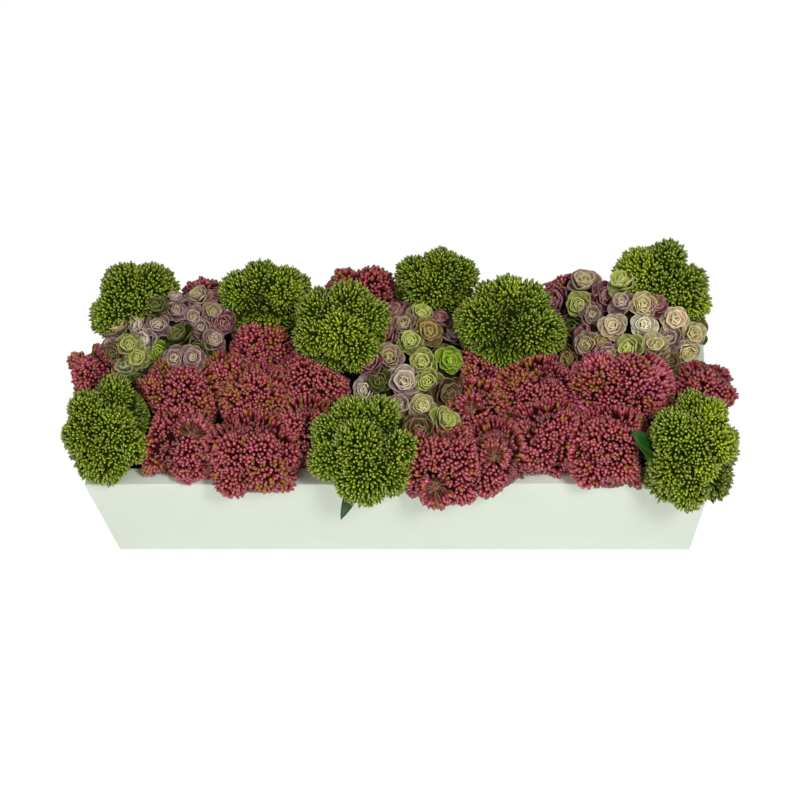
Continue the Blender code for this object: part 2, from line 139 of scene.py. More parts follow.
# Open umbels and the inside of a head: how far round the camera's side they have no buds, how far the heart is
# drawn in under them, the heart's depth under the buds, its roughness and fineness, and the branches
OPEN_ANGLE = math.radians(40)
OPEN_HEART = 0.35
OPEN_HOLLOW = 0.93
HEART_DEPTH = 0.0082
HEART_SPREAD = 0.0008
HEART_FINENESS = 4
BRANCH_SAG = 0.08
BRANCH_RADII = (0.0019, 0.0013, 0.0010)
FORK_SHARE = 0.5

# Draws for the umbels that the photograph hides, low and high: degrees of tilt and of turn, then radius and
# distance as shares of the planned ones
UMBEL_TILT_DRAW = (-7, 7)
UMBEL_TURN_DRAW = (-9, 9)
UMBEL_SIZE_DRAW = (0.93, 1.05)
UMBEL_DISTANCE_DRAW = (0.94, 1.03)
HIDDEN_KINDS = ("plain", "plain", "dark", "olive")

# Draws for the buds: mean and spread of how far a tip stands out and its limits, spread of the lean, low and high
# width and length, tone of an umbel and spread of the tone inside it, and what is left of the tip on patch buds
TIP_DRAW = (-0.0008, 0.0015)
TIP_LIMITS = (-0.0045, 0.0016)
LEAN_SPREAD = 0.15
BUD_WIDTH_DRAW = (0.84, 1.14)
BUD_LENGTH_DRAW = (0.92, 1.12)
UMBEL_TONE_DRAW = (0, 0.7)
TONE_SPREAD = 0.2
PATCH_TIP = 0.3

# Leaves: thickness, half width at the tip, how they start and swell, fold of the edges, height and number of their
# waves, and rows of faces across and along
LEAF_THICKNESS = 0.0007
LEAF_TIP = 0.0004
LEAF_START = 0.06
LEAF_SWELL = 0.94
LEAF_ROUND = 0.8
LEAF_FOLD = 0.18
LEAF_WAVE = 0.0006
LEAF_WAVES = 9
LEAF_ROWS = (6, 10)

# Rosettes on their sprigs, as in the frame's own pieces
ROSETTE_RADIUS = 0.0138
ROSETTE_SPACING = 0.0250
SPRIG_RADIUS = 0.030
SPRIG_ROOM = 0.038
RING_TILT = math.radians(56)
EASING_STEPS = 60
ROSETTE_ROOM = 0.8 * ROSETTE_RADIUS
LOWEST_ROSETTE = 0.2 * SPRIG_RADIUS

# Rosettes that the photograph shows: how far off its sprig's ball one may stand, how far out of a head beside it
# it comes and how far at most; then how far apart and how low those lie that fill the gaps
LONGEST_REACH = 0.012
HEAD_SHARE = 0.90
ROSETTE_SINK = 0.004
MOST_PUSH = 0.016
FILL_ROSETTE_GAP = 0.0165
FILL_SINK = 0.007

# Size of a rosette, least, most and against the distance of the nearest one, and how deep it sits
SMALLEST_ROSETTE = 0.0128
LARGEST_ROSETTE = 0.0166
ROSETTE_SHARE = 0.70
ROSETTE_DEPTH = 0.35
STALK_RADII = (0.0019, 0.0015, 0.0017)

# The mound under them: size against the sprig's, low and high share of it, and fineness
MOUND_SHARE = 0.78
MOUND_DRAW = (0.82, 1.08)
MOUND_FINENESS = 3

# A petal one unit long: where it is widest and half its width there, width at its foot and its growth from there
# and width at its end as shares of that, how blunt and how round the end is, its cup, and how far it rises; then
# its rows of faces, how they crowd at its tip, and where the rim starts there
PETAL_WIDEST = 0.64
PETAL_HALF_WIDTH = 0.49
PETAL_FOOT = 0.42
PETAL_GROWTH = 0.58
PETAL_END = 0.22
PETAL_BLUNT = 2.8
PETAL_ROUND = 0.12
PETAL_CUP = 0.56
PETAL_RISE = 0.26
PETAL_ROWS = 5
PETAL_CROWDING = 1.5
RIM_FROM = 0.72

# Petals in a rosette: step in pitch and lift of every other one, spread of their turns and pitches, low and high
# length, distance of their feet from the middle; then how a rosette faces, by its sprig, its bed and chance
PITCH_STEP = math.radians(9)
PETAL_LIFT = 0.05
PETAL_TURN_SPREAD = 0.09
PETAL_PITCH_SPREAD = 0.10
PETAL_LENGTH_DRAW = (0.86, 1.08)
PETAL_OUT = 0.04
SPRIG_FACING = 0.60
BED_SHARE = 0.62
BED_FACING = Vector((0.0, -0.50, 0.87))
FACING_SPREAD = 0.16

# Whorls of a rosette from the inside out: how many petals fewer than the outer whorl has, their pitch in
# degrees, and their length and foot height as shares of the rosette's radius
WHORLS = ((3, 76, 0.52, 0.12), (1, 60, 0.76, 0.06), (0, 36, 1.00, 0.00), (0, 8, 1.16, -0.10))

# Shading of the buds, painted into their colour: where the dark neck, partly painted shade between the buds, turns
# into the side, how far a tip takes its lighter colour, partly a painted highlight, and how strong it is at the
# end, tones of single buds, and the range of the noise that mottles every finish
NECK_TO_SIDE = (0.28, 0.72)
TIP_SHARE = 0.75
TIP_STRENGTH = 0.92
BUD_TONES = (0.70, 1.22)
MOTTLE_RANGE = (0.3, 0.7)

# Shading of the petals and leaves: whorls between the inner and the outer tint, reach and strength of the rim's
# lighter tint, partly a painted highlight, tones from foot to tip, painted shade at the foot and painted light at
# the tip, tones of the skirt, painted shade under the whorls above it, tones of single petals, width and strength
# of a leaf's rib
INNER_TO_OUTER = (0.1, 0.75)
RIM_REACH = (0.60, 1.0, 0.0, 0.34)
FOOT_SHADE_TO_TIP_LIGHT = (0.15, 0.85, 0.62, 1.12)
SKIRT_SHADE_TONES = (0.8, 1.0, 1.0, 0.72)
PETAL_TONES = (0.78, 1.20)
RIB_REACH = (0.0, 0.16, 0.55, 0.0)

# Camera, for a square picture
PICTURE_SIDE = 800
CAMERA_ELEVATION = math.radians(48)
CAMERA_YAW = math.radians(5.87)
CAMERA_ROLL = math.radians(-4.59)
CAMERA_DISTANCE = 2.4
CAMERA_AIM = Vector((-0.0005, 0, 0.1167))
CAMERA_LENS = 107.68
SENSOR_WIDTH = 36.0

# How much more a ball's miss of a line of sight counts than its distance from the camera
MISS_WEIGHT = 8

# Every lamp: place, size and power as a share of the key lamp's
LAMPS = {
    "key_lamp": ((0.9, -1.5, 2.2), 0.5, 1),
    "fill_lamp": ((-1.3, -1.7, 1.5), 2.4, 0.55),
    "back_lamp": ((0.3, 2.3, 1.2), 2.4, 0.30),
}
LAMP_TARGET = Vector((0, 0, 0.1))
FLOOR_SIZE = 12

Head = namedtuple("Head", "node centre radius width lobes turn")
Shape = namedtuple("Shape", "verts faces")
Umbel = namedtuple("Umbel", "middle radius kind")

# How the umbels of a head lie: their distance, their radius, the lowest valley between them and the ridge along
# the seams with the neighbours as shares of the head's radius, then for each ring below the one on top its tilt
# in degrees and how many umbels more than the head's lobes it holds
Bloom = namedtuple("Bloom", "offset radius valley ridge rings")
GREEN_BLOOM = Bloom(0.49, 0.46, 0.50, 0.90, ((52, 0), (99, 2)))
PINK_BLOOM = Bloom(0.50, 0.44, 0.75, 1.03, ((52, 1), (98, 2)))

# Chances of a bud's colour in each kind of umbel: side, second side, patch and pale; and the number of the patch
PATCH = 2
BUD_CHANCES = {
    "plain": (0.70, 0.20, 0.07, 0.03),
    "dark": (0.20, 0.66, 0.14, 0.00),
    "olive": (0.34, 0.22, 0.44, 0.00),
    "pale": (0.34, 0.02, 0.04, 0.60),
    "open": (0.60, 0.12, 0.18, 0.10),
}


def named_heads(kind, rows):
    return [Head(f"{kind}_{name}", *values) for name, *values in rows]


# Every green head: name, middle of its ball, radius, width against depth, side lobes, turn of the lobes
GREEN_HEADS = named_heads("green_head", [
    ("back_left", (-0.271, 0.088, 0.159), 0.054, 1.00, 4, 20),
    ("back_midleft", (-0.138, 0.088, 0.158), 0.054, 1.02, 5, 50),
    ("middle", (-0.056, 0.032, 0.181), 0.054, 1.00, 5, 10),
    ("back_centre", (0.035, 0.104, 0.164), 0.049, 1.02, 4, 75),
    ("midright", (0.109, 0.039, 0.176), 0.056, 1.06, 4, 35),
    ("back_right", (0.261, 0.104, 0.164), 0.055, 1.02, 5, 0),
    ("front_left", (-0.283, -0.066, 0.146), 0.058, 0.89, 5, 15),
    ("front_centre", (-0.027, -0.101, 0.151), 0.061, 1.00, 6, 30),
    ("front_right", (0.285, -0.098, 0.147), 0.063, 0.87, 5, 60),
])

# Every pink head, in the same order of values
PINK_HEADS = named_heads("pink_head", [
    ("left_end", (-0.307, 0.014, 0.138), 0.035, 1.0, 3, 10),
    ("back_left", (-0.204, 0.118, 0.138), 0.029, 1.0, 3, 50),
    ("back_centre", (-0.043, 0.120, 0.140), 0.039, 1.1, 4, 20),
    ("left_inner", (-0.139, 0.036, 0.146), 0.038, 1.0, 3, 80),
    ("left_gap", (-0.172, 0.000, 0.140), 0.037, 1.0, 3, 0),
    ("front_left", (-0.216, -0.022, 0.142), 0.050, 1.0, 4, 30),
    ("front_left_low", (-0.214, -0.080, 0.137), 0.042, 1.1, 3, 70),
    ("midleft", (-0.138, -0.030, 0.141), 0.046, 1.0, 4, 45),
    ("midleft_inner", (-0.086, -0.010, 0.144), 0.044, 1.0, 4, 15),
    ("midleft_low", (-0.088, -0.062, 0.138), 0.041, 1.0, 3, 70),
    ("front_midleft", (-0.138, -0.094, 0.139), 0.049, 1.1, 4, 0),
    ("centre_back", (0.086, 0.004, 0.146), 0.039, 1.0, 3, 30),
    ("centre", (0.080, -0.040, 0.138), 0.041, 1.0, 3, 90),
    ("centre_right", (0.135, -0.018, 0.144), 0.047, 1.0, 4, 60),
    ("front_centre", (0.043, -0.106, 0.138), 0.049, 1.0, 4, 40),
    ("front_midright", (0.096, -0.096, 0.138), 0.042, 1.0, 3, 20),
    ("centre_low", (0.148, -0.074, 0.138), 0.045, 1.0, 4, 10),
    ("right", (0.219, -0.020, 0.141), 0.055, 1.1, 5, 25),
    ("front_right", (0.208, -0.090, 0.139), 0.048, 1.1, 4, 55),
    ("right_end", (0.302, -0.009, 0.139), 0.035, 1.0, 3, 65),
    ("back_right", (0.170, 0.118, 0.137), 0.031, 1.1, 3, 35),
])

# Every sprig of rosettes, in the same order: its lobes are the rosettes round the one on top
SPRIGS = named_heads("rosette_sprig", [
    ("left_1", (-0.276, 0.036, 0.141), SPRIG_ROOM, 1.0, 5, 0),
    ("left_2", (-0.238, 0.060, 0.152), SPRIG_ROOM, 1.0, 5, 40),
    ("left_3", (-0.197, 0.078, 0.152), SPRIG_ROOM, 1.0, 5, 20),
    ("left_4", (-0.207, 0.032, 0.144), SPRIG_ROOM, 1.0, 5, 60),
    ("middle_1", (-0.012, -0.006, 0.150), SPRIG_ROOM, 1.0, 5, 10),
    ("middle_2", (0.016, 0.040, 0.156), SPRIG_ROOM, 1.0, 5, 50),
    ("middle_3", (0.038, 0.000, 0.150), SPRIG_ROOM, 1.0, 5, 30),
    ("middle_4", (0.022, -0.058, 0.142), SPRIG_ROOM, 1.0, 5, 0),
    ("right_1", (0.190, 0.090, 0.152), SPRIG_ROOM, 1.0, 5, 15),
    ("right_2", (0.238, 0.068, 0.164), SPRIG_ROOM, 1.0, 5, 45),
    ("right_3", (0.208, 0.042, 0.154), SPRIG_ROOM, 1.0, 5, 70),
    ("right_4", (0.246, 0.022, 0.147), SPRIG_ROOM, 1.0, 5, 25),
    ("right_5", (0.272, 0.054, 0.149), SPRIG_ROOM, 1.0, 4, 55),
])
EVERYTHING = GREEN_HEADS + PINK_HEADS + SPRIGS

# Green leaves: the head whose stem each grows from, the middle and the tip of its midrib, and its width; and how
# far down that stem they grow, as a share of it
LEAVES = [
    ("green_head_front_centre", ((-0.040, -0.126, 0.124), (-0.052, -0.146, 0.107)), 0.015),
    ("green_head_front_right", ((0.246, -0.120, 0.174), (0.226, -0.100, 0.185)), 0.044),
    ("green_head_middle", ((-0.010, 0.022, 0.172), (0.000, 0.018, 0.180)), 0.013),
    ("green_head_midright", ((0.133, 0.023, 0.152), (0.155, 0.012, 0.160)), 0.018),
]
LEAF_ROOT_SHARE = 0.42

# Umbels by kind: the pixel of the square picture where the middle of each shows, and its radius in pixels
GREEN_UMBELS = {
    "plain": [
        (126, 284, 22), (160, 283, 24), (111, 318, 21), (146, 304, 19), (236, 290, 21), (262, 277, 18),
        (301, 282, 17), (350, 297, 22), (311, 308, 20), (374, 316, 20), (362, 354, 20), (311, 337, 19),
        (425, 290, 25), (408, 271, 19), (441, 267, 20), (464, 273, 17), (477, 320, 24), (544, 336, 26),
        (535, 290, 19), (483, 284, 14), (286, 281, 16), (313, 291, 12), (667, 256, 17), (689, 284, 19),
        (664, 290, 20), (118, 387, 19), (86, 409, 20), (78, 436, 19), (92, 467, 16), (116, 429, 25),
        (109, 463, 23), (135, 448, 17), (351, 411, 20), (381, 412, 19), (323, 429, 20), (357, 442, 24),
        (403, 449, 18), (363, 480, 27), (326, 461, 19), (390, 478, 19), (691, 402, 20), (670, 431, 24),
        (698, 440, 23), (667, 471, 23), (686, 489, 23), (654, 492, 19)],
    "pale": [
        (288, 293, 18), (340, 332, 26), (507, 291, 18), (635, 273, 26), (691, 306, 19), (722, 442, 20),
        (707, 467, 16), (711, 414, 18)],
}
PINK_UMBELS = {
    "plain": [
        (86, 372, 21), (203, 290, 14), (185, 287, 10), (252, 334, 20), (258, 356, 15), (285, 352, 15),
        (305, 371, 19), (331, 389, 20), (299, 397, 16), (185, 387, 22), (216, 378, 20), (178, 416, 21),
        (156, 425, 15), (192, 450, 16), (190, 470, 14), (241, 417, 19), (288, 427, 18), (234, 454, 21),
        (262, 449, 19), (289, 455, 14), (232, 481, 17), (375, 284, 20), (391, 301, 15), (396, 309, 10),
        (480, 350, 19), (506, 368, 16), (535, 402, 21), (552, 396, 16), (485, 424, 15), (536, 456, 17),
        (550, 436, 15), (436, 455, 19), (466, 460, 21), (486, 481, 17), (462, 490, 16), (630, 374, 21),
        (614, 406, 21), (601, 435, 19), (576, 452, 16), (620, 463, 21), (588, 471, 17), (704, 384, 19),
        (726, 395, 11), (565, 286, 12), (552, 290, 10), (333, 286, 12), (206, 470, 14), (284, 481, 14),
        (132, 472, 10)],
    "olive": [
        (73, 357, 9), (330, 289, 10), (152, 393, 18), (203, 403, 14), (233, 398, 15), (278, 333, 17),
        (203, 470, 14), (269, 474, 19), (271, 396, 17), (283, 409, 12), (345, 281, 13), (522, 380, 13),
        (500, 402, 13), (592, 380, 14), (655, 404, 14), (640, 474, 14), (610, 455, 12), (470, 374, 12),
        (150, 463, 13)],
    "dark": [
        (254, 386, 17), (235, 372, 14), (567, 424, 14), (628, 440, 14)],
    "pale": [
        (582, 405, 20), (652, 385, 19), (597, 369, 17)],
    "open": [
        (196, 430, 17), (468, 406, 15), (518, 438, 18), (494, 453, 16), (436, 491, 19)],
}


def shown(red, green, blue):
    """Linear colour of a 0 to 255 display colour."""
    values = (channel / 255 for channel in (red, green, blue))
    return tuple(v / 12.92 if v <= 0.04045 else ((v + 0.055) / 1.055) ** 2.4 for v in values)


# Rosettes by tint: colour of the inner petals, of the outer petals and of their rims, whose lighter tint is partly
# a painted highlight, and the places (pixels of the square picture) of the rosettes that wear it
ROSETTE_TINTS = {
    "mauve": (shown(206, 196, 150), shown(164, 130, 124), shown(224, 196, 188), [
        (175, 312), (158, 326), (177, 359), (194, 358), (194, 318), (201, 328), (213, 342), (176, 300),
        (623, 304), (606, 355), (669, 339), (451, 335), (401, 406), (591, 314)]),
    "pale_mauve": (shown(222, 218, 172), shown(196, 176, 162), shown(238, 220, 208), [
        (146, 339), (366, 390), (404, 382), (139, 325)]),
    "dark_mauve": (shown(176, 130, 118), shown(142, 84, 94), shown(204, 150, 152), [
        (224, 323), (439, 320), (371, 363), (388, 335), (398, 315), (656, 306), (604, 297), (558, 302)]),
    "green_mauve": (shown(200, 206, 126), shown(170, 144, 118), shown(210, 182, 160), [
        (198, 297), (213, 313), (120, 328), (404, 326), (585, 283), (587, 344), (389, 358)]),
    "green": (shown(208, 218, 116), shown(170, 178, 86), shown(226, 218, 160), [
        (129, 345), (137, 358), (410, 342), (423, 363), (428, 382), (444, 420), (421, 315), (622, 283),
        (579, 305), (628, 350), (609, 361)]),
    "bright_green": (shown(176, 204, 62), shown(148, 176, 46), shown(192, 216, 96), [(159, 352), (450, 360)]),
    "dark_green": (shown(112, 118, 46), shown(84, 86, 36), shown(142, 142, 84), [
        (157, 308), (179, 337), (136, 374), (379, 381), (574, 328)]),
    "grey_green": (shown(182, 188, 126), shown(152, 154, 104), shown(208, 210, 160), [(124, 366), (152, 370)]),
    "olive": (shown(184, 170, 88), shown(150, 126, 68), shown(196, 170, 120), [
        (428, 332), (561, 367), (570, 358)]),
    "brown": (shown(132, 118, 68), shown(108, 84, 56), shown(146, 120, 90), [
        (114, 354), (448, 392), (419, 429), (668, 362)]),
    "cream_green": (shown(224, 220, 148), shown(204, 190, 132), shown(234, 220, 180), [
        (643, 305), (655, 346), (686, 351), (422, 407), (693, 334)]),
    "cream": (shown(238, 228, 184), shown(226, 202, 162), shown(242, 234, 206), [
        (613, 327), (675, 320)]),
    "white": (shown(250, 246, 206), shown(246, 238, 204), shown(250, 246, 226), [(644, 324)]),
}

# Tints of the rosettes that the photograph doesn't show one by one: those that fill its gaps, and those behind
FILL_TINTS = ("dark_green", "brown", "dark_mauve", "olive", "mauve")
HIDDEN_TINTS = ("mauve", "green_mauve", "grey_green", "olive", "dark_mauve", "green")


def colour_of(name, description, red, green, blue):
    """A colour that a user can change, given as a display colour."""
    return FloatVectorProperty(name=name, description=description, subtype="COLOR", size=3, min=0, max=1,
                               default=shown(red, green, blue))


def distance_of(name, description, metres):
    return FloatProperty(name=name, description=description, subtype="DISTANCE", unit="LENGTH", min=0,
                         default=metres)


class PlanterSettings(bpy.types.PropertyGroup):
    rounding: distance_of("Rounding", "Radius of the planter's edges", 0.0015)
    finish: colour_of("Finish", "Satin coat of the planter", 228, 237, 221)
    foam: colour_of("Foam", "Dry foam under the plants", 44, 46, 24)


class GreenSedumSettings(bpy.types.PropertyGroup):
    bud_length: distance_of("Bud length", "Length of a green bud with its neck", 0.0130)
    bud_width: distance_of("Bud width", "Widest part of a green bud", 0.0043)
    spacing: distance_of("Spacing", "Distance between the tips of neighbouring buds", 0.0043)
    # the tip colour is the buds' lighter tip and partly a painted highlight; the neck colour is dark, partly
    # painted shade between the buds
    tip: colour_of("Tip", "Tip of a bud", 222, 234, 96)
    side: colour_of("Side", "Side of a bud", 104, 130, 12)
    neck: colour_of("Neck", "Neck and stalk of a bud", 40, 56, 5)
    second: colour_of("Second side", "Side of the darker buds", 78, 102, 10)
    patch: colour_of("Patch", "Buds that are going over", 124, 128, 14)
    pale: colour_of("Pale side", "Side of the brightest buds", 142, 164, 20)
    # the heart colour is painted shade: the dark inside of a head among its pedicels
    heart: colour_of("Heart", "Inside of a head", 34, 46, 4)
    leaf: colour_of("Leaf", "Leaves under the heads", 36, 86, 22)
    midrib: colour_of("Midrib", "Middle of a leaf", 88, 132, 56)


class PinkSedumSettings(bpy.types.PropertyGroup):
    bud_length: distance_of("Bud length", "Length of a pink bud with its neck", 0.0140)
    bud_width: distance_of("Bud width", "Widest part of a pink bud", 0.0047)
    spacing: distance_of("Spacing", "Distance between the tips of neighbouring buds", 0.0044)
    # the tip colour is the buds' lighter tip and partly a painted highlight; the neck colour is dark, partly
    # painted shade between the buds
    tip: colour_of("Tip", "Tip of a bud", 226, 132, 136)
    side: colour_of("Side", "Side of a bud", 137, 38, 48)
    neck: colour_of("Neck", "Neck and stalk of a bud", 98, 32, 30)
    second: colour_of("Second side", "Side of the darker buds", 142, 38, 46)
    patch: colour_of("Patch", "Olive buds", 158, 106, 34)
    pale: colour_of("Pale side", "Side of the lilac buds", 202, 90, 118)
    stalk: colour_of("Stalk", "Thin stalks of the open umbels", 204, 148, 124)
    # the heart colour is painted shade: the dark inside of a head among its pedicels
    heart: colour_of("Heart", "Inside of a head", 44, 12, 11)


class RosetteSettings(bpy.types.PropertyGroup):
    petals: IntProperty(name="Petals", description="Petals of the outer whorl", default=6, min=5)
    thickness: distance_of("Thickness", "Thickness of a petal", 0.0009)
    stalk: colour_of("Stalk", "Stalks under the rosettes", 96, 104, 60)
    heart: colour_of("Heart", "Inside of a sprig", 40, 38, 22)


class StageSettings(bpy.types.PropertyGroup):
    floor: colour_of("Floor", "Plain floor", 250, 250, 250)
    sky: FloatProperty(name="Sky", description="Strength of the light from all sides", default=0.28, min=0)
    key: FloatProperty(name="Key light", description="Power of the main lamp", default=37.5, min=0,
                       subtype="POWER", unit="POWER")


# Modelling by hand

def deselect_all():
    if bpy.context.object and bpy.context.object.mode != "OBJECT":
        bpy.ops.object.mode_set(mode="OBJECT")
    bpy.ops.object.select_all(action="DESELECT")


def make_active(obj):
    deselect_all()
    obj.select_set(True)
    bpy.context.view_layer.objects.active = obj


def pick(obj, kind, wanted):
    """In edit mode, select only the faces or the edges that pass the test."""
    bpy.ops.mesh.select_all(action="DESELECT")
    mesh = bmesh.from_edit_mesh(obj.data)
    for part in getattr(mesh, kind):
        if wanted(part):
            part.select_set(True)
    bmesh.update_edit_mesh(obj.data)


def settle(obj, material=None):
    """Leave the object at the origin, unturned and unscaled, with its place in its mesh."""
    make_active(obj)
    bpy.ops.object.transform_apply(location=True, rotation=True, scale=True)
    if material:
        obj.data.materials.clear()
        obj.data.materials.append(material)
    return obj


def take_shape(obj):
    """Read the corners and faces of a modelled shape, and remove it."""
    verts = np.array([vert.co for vert in obj.data.vertices])
    faces = [np.array(face.vertices) for face in obj.data.polygons]
    bpy.data.objects.remove(obj, do_unlink=True)
    return Shape(verts, faces)


def join_pieces(pieces, name):
    """Join pieces into the first, and shade them smooth."""
    make_active(pieces[0])
    for piece in pieces[1:]:
        piece.select_set(True)
    bpy.ops.object.join()
    joined = bpy.context.object
    joined.name = name
    bpy.ops.object.shade_smooth()
    return joined


def hand_over(piece, slot, *nodes):
    """Let a finished piece ride, and stand for its nodes."""
    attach(piece, BODY)
    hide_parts(*nodes)


def add_layers(mesh, **layers):
    """Colours at a mesh's corners, which the materials read by name."""
    for name, values in layers.items():
        layer = mesh.color_attributes.new(name=name, type="FLOAT_COLOR", domain="POINT")
        layer.data.foreach_set("color", values.ravel())


def add_object(data):
    obj = bpy.data.objects.new(data.name, data)
    bpy.context.scene.collection.objects.link(obj)
    return obj


def add_copies(name, corners, shape, material, **layers):
    """An object made of copies of a modelled shape, given the corners and the layers of all copies."""
    starts = range(0, len(corners), len(shape.verts))
    mesh = bpy.data.meshes.new(name)
    mesh.from_pydata(corners, [], [(face + start).tolist() for start in starts for face in shape.faces])
    add_layers(mesh, **layers)
    mesh.materials.append(material)
    return add_object(mesh)


def thicken(obj, thickness, offset):
    """Give a sheet its thickness."""
    make_active(obj)
    solid = obj.modifiers.new("thickness", "SOLIDIFY")
    solid.thickness = thickness
    solid.offset = offset
    bpy.ops.object.modifier_apply(modifier=solid.name)


def model_core(head, subdivisions, offsets, slack, material):
    """The inside of a head or a sprig: a ball with each corner moved, kept inside its own space."""
    deselect_all()
    bpy.ops.mesh.primitive_ico_sphere_add(subdivisions=subdivisions, radius=1, location=(0, 0, 0))
    core = bpy.context.object
    centre = np.array(head.centre)
    points = centre + offsets(np.array([vert.co for vert in core.data.vertices]))
    shares = inside_shares(centre, points, space_planes(head), slack)
    points = centre + (points - centre) * shares[:, None]
    core.data.vertices.foreach_set("co", points.ravel())
    core.data.update()
    return settle(core, material)


# Materials

def new_finish(name, roughness):
    material = bpy.data.materials.new(name)
    material.use_nodes = True
    shader = material.node_tree.nodes["Principled BSDF"]
    shader.inputs["Roughness"].default_value = roughness
    return material, material.node_tree, shader


def add_node(tree, kind, **settings):
    node = tree.nodes.new(kind)
    for key, value in settings.items():
        setattr(node, key, value)
    return node


def start_group(name, inputs, detail):
    """A new node group, its input node, and noise over the object at the scale that the group is given."""
    group = bpy.data.node_groups.new(name, "ShaderNodeTree")
    for socket_name, default in inputs:
        socket = group.interface.new_socket(socket_name, in_out="INPUT", socket_type="NodeSocketFloat")
        socket.default_value = default
    start = add_node(group, "NodeGroupInput")
    place = add_node(group, "ShaderNodeTexCoord")
    noise = add_node(group, "ShaderNodeTexNoise")
    noise.inputs["Detail"].default_value = detail
    group.links.new(place.outputs["Object"], noise.inputs["Vector"])
    group.links.new(start.outputs["Scale"], noise.inputs["Scale"])
    return group, start, noise.outputs["Fac"]


def mottle_group():
    """Soft cloudy variation: a multiplier between Low and High that changes over the surface."""
    if "Mottle" in bpy.data.node_groups:
        return bpy.data.node_groups["Mottle"]
    group, start, noise = start_group("Mottle", (("Scale", 100.0), ("Low", 0.9), ("High", 1.1)), 3)
    group.interface.new_socket("Factor", in_out="OUTPUT", socket_type="NodeSocketFloat")
    end = add_node(group, "NodeGroupOutput")
    spread = add_node(group, "ShaderNodeMapRange")
    for limit, value in zip(("From Min", "From Max"), MOTTLE_RANGE):
        spread.inputs[limit].default_value = value
    group.links.new(noise, spread.inputs["Value"])
    group.links.new(start.outputs["Low"], spread.inputs["To Min"])
    group.links.new(start.outputs["High"], spread.inputs["To Max"])
    group.links.new(spread.outputs["Result"], end.inputs["Factor"])
    return group


def grain_group():
    """Fine bumps of a moulded or sprayed surface, as a normal."""
    if "Grain" in bpy.data.node_groups:
        return bpy.data.node_groups["Grain"]
    group, start, noise = start_group("Grain", (("Scale", 600.0), ("Strength", 0.2), ("Depth", 0.0003)), 2)
    group.interface.new_socket("Normal", in_out="OUTPUT", socket_type="NodeSocketVector")
    end = add_node(group, "NodeGroupOutput")
    bump = add_node(group, "ShaderNodeBump")
    group.links.new(noise, bump.inputs["Height"])
    group.links.new(start.outputs["Strength"], bump.inputs["Strength"])
    group.links.new(start.outputs["Depth"], bump.inputs["Distance"])
    group.links.new(bump.outputs["Normal"], end.inputs["Normal"])
    return group


def use_group(tree, group, **values):
    node = add_node(tree, "ShaderNodeGroup", node_tree=group)
    for name, value in values.items():
        node.inputs[name].default_value = value
    return node.outputs[0]


def mottle(tree, scale, low, high):
    return use_group(tree, mottle_group(), Scale=scale, Low=low, High=high)


def add_grain(tree, shader, scale, strength, depth):
    grain = use_group(tree, grain_group(), Scale=scale, Strength=strength, Depth=depth)
    tree.links.new(grain, shader.inputs["Normal"])


def set_or_link(tree, socket, value):
    """Give a socket a value: another socket, a number or a plain colour."""
    if isinstance(value, bpy.types.NodeSocket):
        tree.links.new(value, socket)
    elif isinstance(value, (int, float)):
        socket.default_value = value
    else:
        socket.default_value = (*value, 1)


def mix_colours(tree, share, first, second, blend="MIX"):
    """Mix node for two colours, each a socket or a plain colour, and a share that is a socket or a number."""
    mix = add_node(tree, "ShaderNodeMix", data_type="RGBA", blend_type=blend)
    inputs = [socket for socket in mix.inputs if socket.enabled]
    for socket, value in zip(inputs, (share, first, second)):
        set_or_link(tree, socket, value)
    return next(socket for socket in mix.outputs if socket.enabled)


def multiply(tree, first, second):
    node = add_node(tree, "ShaderNodeMath", operation="MULTIPLY")
    for socket, value in zip(node.inputs, (first, second)):
        set_or_link(tree, socket, value)
    return node.outputs[0]


def spread_range(tree, value, low, high, to_low=0.0, to_high=1.0):
    """Value mapped from one range to another, and kept inside it."""
    node = add_node(tree, "ShaderNodeMapRange")
    for name, number in (("From Min", low), ("From Max", high), ("To Min", to_low), ("To Max", to_high)):
        node.inputs[name].default_value = number
    tree.links.new(value, node.inputs["Value"])
    return node.outputs["Result"]


def paint(tree, shader, colour, factor):
    """Give the shader a colour, made darker or lighter by a factor."""
    grey = add_node(tree, "ShaderNodeCombineColor")
    for socket in grey.inputs[:3]:
        tree.links.new(factor, socket)
    tree.links.new(mix_colours(tree, 1.0, colour, grey.outputs["Color"], "MULTIPLY"), shader.inputs["Base Color"])


def attribute(tree, name):
    return add_node(tree, "ShaderNodeAttribute", attribute_name=name).outputs["Color"]


def attribute_parts(tree, name):
    """The three values that a layer holds at each corner."""
    parts = add_node(tree, "ShaderNodeSeparateColor")
    tree.links.new(attribute(tree, name), parts.inputs["Color"])
    return parts.outputs[:3]


def planter_finish(settings):
    material, tree, shader = new_finish("planter_satin", roughness=0.38)
    tone = multiply(tree, mottle(tree, scale=9.0, low=0.975, high=1.0),
                    mottle(tree, scale=160.0, low=0.985, high=1.0))
    paint(tree, shader, settings.finish, tone)
    add_grain(tree, shader, scale=900.0, strength=0.12, depth=0.0002)
    tree.links.new(mottle(tree, scale=30.0, low=0.32, high=0.44), shader.inputs["Roughness"])
    return material


def foam_finish(settings):
    material, tree, shader = new_finish("foam_matte", roughness=0.95)
    paint(tree, shader, settings.foam, mottle(tree, scale=220.0, low=0.55, high=1.2))
    add_grain(tree, shader, scale=1400.0, strength=0.9, depth=0.0008)
    return material


